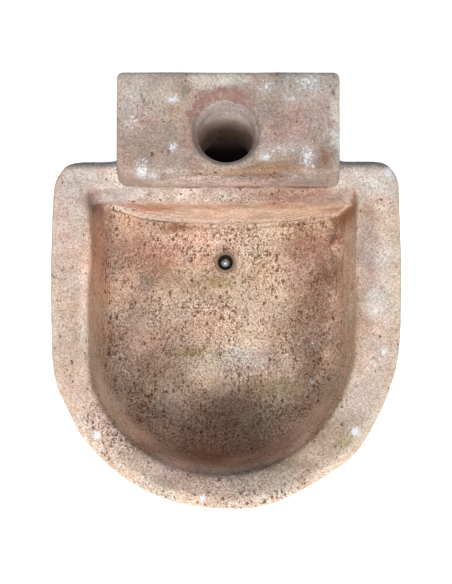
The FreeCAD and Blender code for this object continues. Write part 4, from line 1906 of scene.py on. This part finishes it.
BLOCK_STAINS = (
    # Top and edges
    Stain((-0.09, 0.29, 0.36), (0.06, 0.04, 0.04), (0.46, 0.37, 0.29), 0.6),
    Stain((-0.1, 0.21, 0.36), (0.05, 0.05, 0.04), (0.4, 0.35, 0.32)),
    Stain((-0.125, 0.262, 0.36), (0.032, 0.03, 0.04), (0.5, 0.37, 0.32)),
    Stain((-0.062, 0.31, 0.36), (0.014, 0.03, 0.04), (0.27, 0.25, 0.2), 0.8),
    Stain((-0.082, 0.24, 0.36), (0.02, 0.036, 0.04), (0.32, 0.28, 0.24)),
    Stain((-0.01, 0.325, 0.36), (0.06, 0.02, 0.04), (0.58, 0.57, 0.5), 0.9),
    Stain((0.12, 0.315, 0.36), (0.06, 0.03, 0.04), (0.52, 0.48, 0.44)),
    Stain((0.09, 0.258, 0.36), (0.045, 0.035, 0.04), (0.46, 0.33, 0.28)),
    Stain((0.118, 0.22, 0.36), (0.035, 0.03, 0.04), (0.4, 0.32, 0.29)),
    Stain((0.146, 0.208, 0.36), (0.013, 0.022, 0.04), (0.33, 0.19, 0.13), 0.8),
    Stain((0.168, 0.26, 0.35), (0.014, 0.09, 0.06), (0.61, 0.59, 0.54), 0.9),
    Stain((0.04, 0.19, 0.355), (0.14, 0.014, 0.03), (0.33, 0.21, 0.14), 0.9),
    Stain((0.0, 0.172, 0.33), (0.19, 0.014, 0.06), (0.64, 0.47, 0.41), 0.9),
    Stain((0.05, 0.215, 0.355), (0.022, 0.018, 0.02), (0.62, 0.58, 0.54), 0.6),
    # Lighter and darker places
    tone((-0.142, 0.308, 0.36), (0.075, 0.07, 0.05), (1.22, 1.42, 1.54)),
    tone((0.118, 0.325, 0.36), (0.08, 0.04, 0.05), (0.8, 0.8, 0.82)),
    tone((0.025, 0.292, 0.36), (0.045, 0.03, 0.05), (0.9, 0.8, 0.76)),
    tone((0.08, 0.262, 0.36), (0.05, 0.035, 0.05), (0.78, 0.77, 0.78)),
    tone((-0.1, 0.226, 0.36), (0.095, 0.075, 0.05), (0.9, 0.8, 0.74)),
    tone((0.048, 0.204, 0.36), (0.045, 0.03, 0.05), (0.84, 0.74, 0.68)),
    tone((0.14, 0.204, 0.36), (0.045, 0.035, 0.05), (0.78, 0.76, 0.75)),
    tone((-0.05, 0.176, 0.34), (0.13, 0.026, 0.08), (1.3, 1.38, 1.46)),
    tone((0.066, 0.176, 0.34), (0.08, 0.02, 0.06), (0.84, 0.8, 0.8)),
    tone((0.0, 0.203, 0.35), (0.065, 0.014, 0.03), (1.6, 1.66, 1.7)),
    tone((-0.129, 0.204, 0.36), (0.03, 0.022, 0.05), (0.82, 0.8, 0.8)),
    tone((-0.129, 0.264, 0.36), (0.03, 0.03, 0.04), (0.86, 0.79, 0.73)),
)
BASIN_FINISH = ClayFinish(
    name="terracotta",
    body=(0.56, 0.43, 0.34),
    marks={
        Mark.RIM: (0.58, 0.47, 0.4),
        # the walls' colour, paler than the floor's: partly painted light, as the steep walls lie in shade
        Mark.WALL: (0.74, 0.55, 0.44),
        Mark.FLOOR: (0.62, 0.49, 0.39),
        Mark.SHOULDER: (0.46, 0.35, 0.3),
        # dark grey on the rim's back outer edge: partly grey weathering, partly painted shade on that edge,
        # which faces away from the light
        Mark.BACK: (0.22, 0.22, 0.215),
        # pale inside the pedestal's bore: painted light that comes down it
        Mark.BORE: (0.95, 0.88, 0.86),
    },
    over={
        # paler outer edge of the rim: wear, with painted light on the rounding
        Mark.OUTER: (0.66, 0.54, 0.43),
        # painted light under the inner rim edge, on walls that lie in shade
        Mark.LEDGE: (0.74, 0.61, 0.48),
        # painted highlight on the roll of clay and the right corner's fillet
        Mark.ROLL: (0.84, 0.69, 0.57),
        # painted shade in the bowl's right back corner
        Mark.NOOK: (0.34, 0.18, 0.11),
    },
    lines=(
        # pale line along the back wall's foot: painted highlight on the lip and the roll of clay
        Line((-0.006, 0.143, 0.12), 0.224, 0.01, 0.026, (0.92, 0.78, 0.68), 0.9, 0.0165, 0.014),
        Line((-0.006, 0.1378, 0.1), 0.224, 0.0026, 0.009, (0.19, 0.09, 0.06), 0.8, 0.0165, 0.014),
        Line((0.012, 0.175, 0.28), 0.165, 0.003, 0.012, (0.15, 0.07, 0.05), 0.9),
    ),
    stains=BASIN_STAINS,
)
BLOCK_FINISH = ClayFinish(
    name="weathered_terracotta",
    body=(0.385, 0.31, 0.27),
    # pale inside the block's bore: painted light that comes down it
    marks={Mark.BORE: (0.55, 0.49, 0.47)},
    rust_colour=(0.315, 0.18, 0.15),
    stains=BLOCK_STAINS,
)
MORTAR_FINISH = ClayFinish(
    name="lime_mortar",
    body=(0.4, 0.3, 0.25),
    marks={},
)
BASIN_PEPPER = (
    Patch((-0.17, -0.21, 0.28), (0.09, 0.09, 0.04), 0.5),
    Patch((0.0, -0.31, 0.28), (0.28, 0.07, 0.04), 0.25),
    Patch((-0.195, -0.08, 0.15), (0.04, 0.1, 0.1), 0.5),
    Patch((-0.14, -0.15, 0.11), (0.08, 0.08, 0.06), 0.3),
    Patch((0.0, 0.16, 0.27), (0.22, 0.02, 0.04), 0.3),
    Patch((-0.02, 0.11, 0.1), (0.2, 0.06, 0.03), 0.35),
    Patch((-0.02, -0.02, 0.1), (0.14, 0.05, 0.03), 0.3),
    Patch((0.13, 0.07, 0.1), (0.11, 0.09, 0.03), 0.35),
    Patch((0.16, -0.06, 0.1), (0.06, 0.12, 0.03), 0.2),
    Patch((-0.185, -0.11, 0.12), (0.05, 0.1, 0.06), 0.3),
)
BLOCK_PEPPER = (
    Patch((0.0, 0.176, 0.34), (0.2, 0.02, 0.05), 0.35),
    Patch((-0.13, 0.275, 0.36), (0.05, 0.05, 0.03), 0.05),
)
BASIN_SWELLS = (
    Patch((0.198, 0.094, 0.12), (0.044, 0.038, 0.046), -0.006),
    Patch((0.198, 0.094, 0.12), (0.034, 0.028, 0.036), 0.022),
    Patch((-0.247, -0.182, 0.22), (0.07, 0.05, 0.3), -0.0036),
    Patch((0.205, -0.245, 0.22), (0.09, 0.06, 0.3), 0.006),
    Patch((0.06, -0.325, 0.22), (0.08, 0.03, 0.3), 0.003),
    Patch((-0.27, 0.205, 0.22), (0.05, 0.06, 0.4), -0.0035),
)
BASIN_RUST = (
    Patch((-0.205, -0.055, 0.16), (0.03, 0.06, 0.1), 0.4),
    Patch((-0.19, -0.13, 0.14), (0.035, 0.06, 0.08), 0.45),
    Patch((-0.15, -0.205, 0.13), (0.05, 0.04, 0.08), 0.45),
    Patch((-0.212, 0.08, 0.2), (0.03, 0.08, 0.12), 0.2),
    Patch((-0.09, 0.13, 0.1), (0.05, 0.012, 0.02), 0.7),
    Patch((0.17, -0.15, 0.13), (0.05, 0.07, 0.07), 0.3),
    Patch((0.15, 0.09, 0.1), (0.06, 0.06, 0.03), 0.45),
    Patch((-0.13, 0.08, 0.1), (0.08, 0.06, 0.03), 0.4),
    Patch((-0.03, -0.27, 0.15), (0.1, 0.04, 0.08), 0.5),
    Patch((-0.265, 0.0, 0.27), (0.02, 0.14, 0.03), 0.3),
)
BASIN_LIME = (
    Patch((-0.205, -0.218, 0.28), (0.014, 0.014, 0.02), 1.0),
    Patch((-0.037, -0.319, 0.28), (0.01, 0.01, 0.02), 1.0),
    Patch((0.25, -0.086, 0.28), (0.01, 0.01, 0.02), 1.0),
    Patch((0.205, -0.213, 0.28), (0.012, 0.014, 0.02), 1.0),
    Patch((0.258, 0.199, 0.28), (0.01, 0.016, 0.02), 1.0),
    Patch((0.154, -0.076, 0.1), (0.008, 0.012, 0.02), 0.55),
    Patch((0.154, -0.142, 0.1), (0.01, 0.014, 0.02), 0.55),
    Patch((-0.174, 0.019, 0.1), (0.008, 0.008, 0.02), 0.6),
    Patch((-0.138, 0.165, 0.278), (0.03, 0.015, 0.02), 0.5),
    Patch((0.245, 0.03, 0.28), (0.022, 0.08, 0.02), 0.12),
    Patch((-0.23, 0.02, 0.28), (0.016, 0.08, 0.02), 0.12),
)
BLOCK_LIME = (
    Patch((-0.081, 0.294, 0.36), (0.02, 0.016, 0.02), 0.65),
    Patch((-0.138, 0.265, 0.36), (0.03, 0.036, 0.02), 0.35),
    Patch((-0.08, 0.223, 0.36), (0.014, 0.016, 0.02), 0.66),
    Patch((-0.127, 0.19, 0.345), (0.022, 0.034, 0.05), 0.72),
    Patch((-0.108, 0.178, 0.345), (0.014, 0.016, 0.04), 0.65),
    Patch((-0.078, 0.172, 0.33), (0.014, 0.014, 0.03), 0.75),
    Patch((0.06, 0.312, 0.36), (0.022, 0.024, 0.02), 0.45),
    Patch((0.122, 0.322, 0.36), (0.045, 0.026, 0.03), 0.4),
    Patch((0.158, 0.29, 0.36), (0.016, 0.05, 0.03), 0.35),
    Patch((0.095, 0.296, 0.36), (0.03, 0.02, 0.03), 0.35),
    Patch((0.058, 0.208, 0.36), (0.018, 0.01, 0.02), 0.6),
    Patch((0.122, 0.208, 0.36), (0.02, 0.03, 0.02), 0.55),
    Patch((0.104, 0.176, 0.345), (0.016, 0.014, 0.03), 0.62),
    Patch((0.085, 0.22, 0.36), (0.05, 0.014, 0.02), 0.4),
)


@dataclass
class Studio:
    """The pale floor, the soft light and the camera."""

    floor_half: float = 4.0
    floor_z: float = -0.0004
    floor_glow: float = 0.7
    floor_roughness: float = 0.9
    floor_colour: Triple = (0.93, 0.93, 0.93)
    hidden_centre: Triple = (0.0, 0.06, 0.0)
    hidden_half: Triple = (0.12, 0.26, 1.0)
    hidden_edge: Pair = (0.0, 0.02)
    # Painted shade under the basin, and painted light on the floor at the back of its bore
    hidden_colour: Triple = (0.005, 0.003, 0.004)
    channel_colour: Triple = (0.150, 0.105, 0.105)
    channel_reach: Pair = (0.272, 0.306)
    channel_fall: float = 2.0
    camera_place: Triple = (-0.00175, -0.0515, 1.780)
    camera_shift: Pair = (0.0017, 0.065)
    lens: float = 58.34
    key_place: Triple = (-0.22, -2.70, 4.35)
    key_target: Triple = (0.0, 0.0, 0.15)
    key_size: float = 2.3
    key_power: float = 265.0
    key_colour: Triple = (1.0, 0.965, 0.92)
    sky_colour: Triple = (0.82, 0.92, 1.0)
    sky_strength: float = 0.38

    def build(self) -> None:
        """Make the floor, the light and the camera."""
        self.make_floor()
        self.make_light()
        self.make_camera()
        scene = bpy.context.scene
        scene.view_settings.view_transform = "Standard"
        scene.view_settings.look = "None"
        log.info("studio: floor, key light and camera")

    def make_floor(self) -> None:
        """Make the floor, which glows a little so that it stays near white."""
        half, low = self.floor_half, self.floor_z
        mesh = bpy.data.meshes.new("studio_floor")
        corners = [(-half, -half, low), (half, -half, low), (half, half, low), (-half, half, low)]
        mesh.from_pydata(corners, [], [(0, 1, 2, 3)])
        mesh.materials.append(self.floor_finish())
        new_object("studio_floor", mesh)

    def floor_finish(self) -> Material:
        """Make the floor's material, with painted shade where the floor lies hidden under the basin and
        painted light on the part under its bore.

        Returns:
            The material.
        """
        material = bpy.data.materials.new("studio_floor")
        material.use_nodes = True
        shader = material.node_tree.nodes["Principled BSDF"]
        shader.inputs["Roughness"].default_value = self.floor_roughness
        shader.inputs["Emission Color"].default_value = (1.0, 1.0, 1.0, 1.0)
        pen = TreePen(material.node_tree)
        where = pen.add("ShaderNodeTexCoord").outputs["Object"]
        away = pen.vectors("ABSOLUTE", pen.vectors("SUBTRACT", where, self.hidden_centre))
        past = pen.vectors("SUBTRACT", away, self.hidden_half)
        parts = pen.add("ShaderNodeSeparateXYZ", {0: past}).outputs
        open_floor = pen.remap(pen.maths("MAXIMUM", parts[0], parts[1]), self.hidden_edge)
        along = pen.add("ShaderNodeSeparateXYZ", {0: where}).outputs[1]
        # Painted light under the bore, growing towards its back, over the painted shade under the basin
        lit = pen.maths("POWER", pen.remap(along, self.channel_reach), self.channel_fall)
        hidden = pen.blend(lit, self.hidden_colour, self.channel_colour)
        pen.feed(shader.inputs["Base Color"], pen.blend(open_floor, hidden, self.floor_colour))
        pen.feed(shader.inputs["Emission Strength"], pen.times(open_floor, self.floor_glow))
        return material

    def make_light(self) -> None:
        """Make the large soft key light and the cool sky."""
        light = bpy.data.lights.new("key", "AREA")
        light.shape = "DISK"
        light.size = self.key_size
        light.energy = self.key_power
        light.color = self.key_colour
        key = bpy.data.objects.new("key", light)
        bpy.context.scene.collection.objects.link(key)
        key.location = self.key_place
        toward = Vector(self.key_target) - Vector(self.key_place)
        key.rotation_euler = toward.to_track_quat("-Z", "Y").to_euler()
        world = bpy.data.worlds.new("studio")
        world.use_nodes = True
        sky = world.node_tree.nodes["Background"]
        sky.inputs[0].default_value = (*self.sky_colour, 1.0)
        sky.inputs[1].default_value = self.sky_strength
        bpy.context.scene.world = world

    def make_camera(self) -> None:
        """Make the camera, which looks down from over the bowl with the wall at the top of the picture."""
        lens = bpy.data.cameras.new("camera")
        lens.lens = self.lens
        lens.shift_x, lens.shift_y = self.camera_shift
        camera = bpy.data.objects.new("camera", lens)
        camera.location = self.camera_place
        bpy.context.scene.collection.objects.link(camera)
        bpy.context.scene.camera = camera


def rounded(corners: list[Triple], steps: int = 4) -> list[Pair]:
    """Round the corners of a closed profile.

    Args:
        corners: Each corner's radius from the axis, its height, and how large its round is.
        steps: How many straight steps a round has.

    Returns:
        The profile's points.
    """
    points = []
    for before, here, after in zip(corners[-1:] + corners[:-1], corners, corners[1:] + corners[:1]):
        place, size = Vector(here[:2]), here[2]
        if size <= 0.0:
            points.append(tuple(place))
            continue
        back = (Vector(before[:2]) - place).normalized()
        on = (Vector(after[:2]) - place).normalized()
        half = back.angle(on) / 2.0
        centre = place + (back + on).normalized() * size / math.sin(half)
        first = place + back * size / math.tan(half) - centre
        last = place + on * size / math.tan(half) - centre
        for step in range(steps + 1):
            points.append(tuple(centre + first.lerp(last, step / steps).normalized() * size))
    return points


BRASS = MetalFinish("tarnished_metal", (0.26, 0.19, 0.13), (0.44, 0.32, 0.24), 0.9)
GREY_METAL = MetalFinish("grey_metal", (0.46, 0.47, 0.49), (0.18, 0.17, 0.165), 0.4, 0.5)
PUTTY = SoftFinish("putty", (0.05, 0.04, 0.032), (0.16, 0.12, 0.09), 0.85)
RUBBER = SoftFinish("rubber", (0.012, 0.012, 0.012), (0.06, 0.055, 0.05), 0.6)


@dataclass
class Drain:
    """The drain in the bowl's floor: tail and flange, putty, rubber washer, back nut and lift-out plug."""

    shop: Workshop
    sides: int = 72
    bore: float = 0.0075
    seat: float = 0.0088
    seat_drop: float = 0.0085
    mouth: float = 0.0123
    flange: float = 0.0180
    flange_thick: float = 0.0030
    neck: float = 0.0145
    neck_low_z: float = 0.087
    tail: float = 0.010478
    spigot: float = 0.0095
    spigot_top_z: float = 0.0340
    thread_top_z: float = 0.0520
    thread_pitch: float = 0.001814
    thread_depth: float = 0.0009
    thread_steps: int = 8
    thread_edge: float = 0.0002
    fine_round: float = 0.0003
    edge_round: float = 0.0004
    stem_round: float = 0.0006
    end_round: float = 0.0008
    lip_round: float = 0.0012
    soil_edge: float = 0.0004
    flange_soil: float = 0.1
    mouth_soil: float = 0.8
    putty_gap: float = 0.0001
    putty_bead: float = 0.0007
    washer_gap: float = 0.00005
    nut_bevel: float = 0.0006
    nut_flat: float = math.radians(1.0)
    nut_sharp: float = math.radians(30.0)
    plug_dome: float = 0.0050
    plug_edge: float = 0.0012
    plug_play: float = 0.0003
    dome_steps: int = 12
    smooth_below: float = math.radians(40.0)

    def build(self) -> None:
        """Make the five pieces."""
        made = {finish.name: finish.build(self.shop.effects) for finish in (BRASS, GREY_METAL, PUTTY, RUBBER)}
        for make, node, finish, body in (
            (self.make_tail, "drain_tail", BRASS, Body.FOUNTAIN),
            (self.make_seal, "drain_seal", PUTTY, Body.FOUNTAIN),
            (self.make_washer, "drain_washer", RUBBER, Body.FOUNTAIN),
            (self.make_nut, "drain_backnut", BRASS, Body.FOUNTAIN),
            (self.make_plug, "drain_plug", GREY_METAL, Body.PLUG),
        ):
            self.dress(make(), node, finish.name, made[finish.name], body)

    def dress(self, piece: Object, node: str, slot: str, finish: Material, body: Body) -> None:
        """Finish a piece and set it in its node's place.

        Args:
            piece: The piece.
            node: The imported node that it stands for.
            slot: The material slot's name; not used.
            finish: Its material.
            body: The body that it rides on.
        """
        piece.data.materials.clear()
        piece.data.materials.append(finish)
        piece.data.shade_smooth()
        piece.data.set_sharp_from_angle(angle=self.smooth_below)
        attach(piece, body.value)
        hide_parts(node)
        log.info("%s: %d faces", piece.name, len(piece.data.polygons))

    def turned(self, name: str, corners: list[Triple], node: str) -> Object:
        """Turn a profile, given as rounded takes it, about the upright axis through a node's middle."""
        low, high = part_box(node)
        return object_from(turned_shell(rounded(corners), (low + high) / 2.0, self.sides), name)

    def make_tail(self) -> Object:
        """Turn the tail with its flange, mouth and seat, and cut the thread that the nut runs on.

        Returns:
            The piece.
        """
        low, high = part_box("drain_tail")
        top, under = high.z, high.z - self.flange_thick
        steps = self.thread_steps * round((self.thread_top_z - self.spigot_top_z) / self.thread_pitch)
        rise = (self.thread_top_z - self.spigot_top_z) / steps
        thread = [(self.tail, self.spigot_top_z + (k + 1) * rise, 0.0) for k in range(steps)]
        seat_z = top - self.seat_drop
        piece = self.turned("drain_tail_threaded", [
            (self.bore, low.z, self.edge_round), (self.spigot, low.z, self.end_round),
            (self.spigot, self.spigot_top_z, 0.0), (self.tail - self.thread_depth, self.spigot_top_z, 0.0),
            *thread,
            (self.tail, self.neck_low_z, self.fine_round), (self.neck, self.neck_low_z, self.fine_round),
            (self.neck, under, self.fine_round), (self.flange, under, self.edge_round),
            (self.flange, top, self.lip_round), (self.mouth, top, self.lip_round),
            (self.seat, seat_z, self.edge_round), (self.bore, seat_z, self.fine_round),
        ], "drain_tail")
        places, middle = points_of(piece.data), (low + high) / 2.0
        x, y, z = places[:, 0] - middle.x, places[:, 1] - middle.y, places[:, 2]
        away = np.hypot(x, y)
        on_thread = (z > self.spigot_top_z + rise / 2.0) & (z < self.thread_top_z - rise / 2.0)
        on_thread &= away > self.spigot + self.thread_edge
        phase = (z / self.thread_pitch - np.arctan2(y, x) / (2.0 * math.pi)) % 1.0
        share = 1.0 - on_thread * self.thread_depth * np.abs(2.0 * phase - 1.0) / away
        places[:, 0], places[:, 1] = middle.x + x * share, middle.y + y * share
        move_points(piece.data, places)
        # Dirt on the flange that darkens towards the mouth, and near-black in the mouth: soil, with painted
        # shade where the mouth lies in shadow
        on_flange = self.flange_soil + self.mouth_soil * Ramp(self.flange, self.mouth)(away)
        soil = np.where(away > self.mouth + self.soil_edge, on_flange, 1.0)
        paint(piece.data, Mark.SOIL, soil * (z > self.neck_low_z))
        return piece

    def ring(self, name: str, node: str, inner: float, rounds: Pair) -> Object:
        """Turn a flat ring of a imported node's outer size.

        Args:
            name: The piece's name.
            node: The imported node.
            inner: The ring's inner radius.
            rounds: How large the rounds of its inner and outer edges are at most.

        Returns:
            The piece.
        """
        low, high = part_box(node)
        outer = (high.x - low.x) / 2.0
        inside, outside = (min(size, (high.z - low.z) / 2.0) for size in rounds)
        return self.turned(name, [
            (inner, low.z, inside), (outer, low.z, outside),
            (outer, high.z, outside), (inner, high.z, inside),
        ], node)

    def make_seal(self) -> Object:
        """Turn the ring of putty, which bulges between flange and floor."""
        return self.ring("drain_putty", "drain_seal", self.neck + self.putty_gap, (0.0, self.putty_bead))

    def make_washer(self) -> Object:
        """Turn the rubber washer."""
        rounds = (self.fine_round, self.end_round)
        return self.ring("drain_rubber_washer", "drain_washer", self.tail + self.washer_gap, rounds)

    def make_nut(self) -> Object:
        """Copy the back nut and break its sharp edges.

        Returns:
            The piece.
        """
        piece = merged_copy(self.shop.nodes["drain_backnut"], "drain_nut_bevelled")
        shell = bmesh.new()
        shell.from_mesh(piece.data)
        bmesh.ops.dissolve_limit(shell, angle_limit=self.nut_flat, verts=shell.verts, edges=shell.edges)
        shell.to_mesh(piece.data)
        shell.free()
        bevel = piece.modifiers.new("bevel", "BEVEL")
        bevel.width = self.nut_bevel
        bevel.segments = 2
        bevel.limit_method = "ANGLE"
        bevel.angle_limit = self.nut_sharp
        settled(piece)
        return piece

    def make_plug(self) -> Object:
        """Turn the plug: a dome over a short straight edge, a slanting underside and the stem.

        Returns:
            The piece.
        """
        low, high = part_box("drain_plug")
        head = (high.x - low.x) / 2.0
        skirt_z = high.z - self.plug_dome
        under_z = skirt_z - self.plug_edge
        stem = self.bore - self.plug_play
        radius = (head ** 2 + self.plug_dome ** 2) / (2.0 * self.plug_dome)
        spread = math.asin(head / radius)
        turns = [spread * (1.0 - k / self.dome_steps) for k in range(1, self.dome_steps)]
        dome = [(radius * math.sin(turn), high.z - radius * (1.0 - math.cos(turn)), 0.0) for turn in turns]
        return self.turned("drain_plug_domed", [
            (0.0, low.z, 0.0), (stem, low.z, self.stem_round), (stem, under_z - (head - stem), 0.0),
            (head, under_z, self.fine_round), (head, skirt_z, self.fine_round), *dome, (0.0, high.z, 0.0),
        ], "drain_plug")


def main() -> None:
    """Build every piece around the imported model."""
    logging.basicConfig(level=logging.INFO, format="%(message)s")
    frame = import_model()
    shop = Workshop(frame["nodes"])
    Studio().build()
    Basin(
        shop, "basin", "basin_clay", voxel=0.0024, most_triangles=190_000,
        finish=BASIN_FINISH, texture=ClayTexture(seed=1.7), soft_rounds=36,
        swells=BASIN_SWELLS, pepper=BASIN_PEPPER, lime=BASIN_LIME, rust=BASIN_RUST, base_pepper=0.03,
    ).build()
    PipeBlock(
        shop, "pipe_block", "block_clay", voxel=0.0020, most_triangles=110_000,
        finish=BLOCK_FINISH, texture=ClayTexture(seed=5.3), soft_rounds=18,
        pepper=BLOCK_PEPPER, lime=BLOCK_LIME, base_pepper=0.02,
    ).build()
    MortarBed(
        shop, "bedding_mortar", "mortar_bed", voxel=0.0015, most_triangles=30_000,
        finish=MORTAR_FINISH, texture=ClayTexture(seed=9.1, swell_height=0.0004),
    ).build()
    Drain(shop).build()


if __name__ == "__main__":
    main()
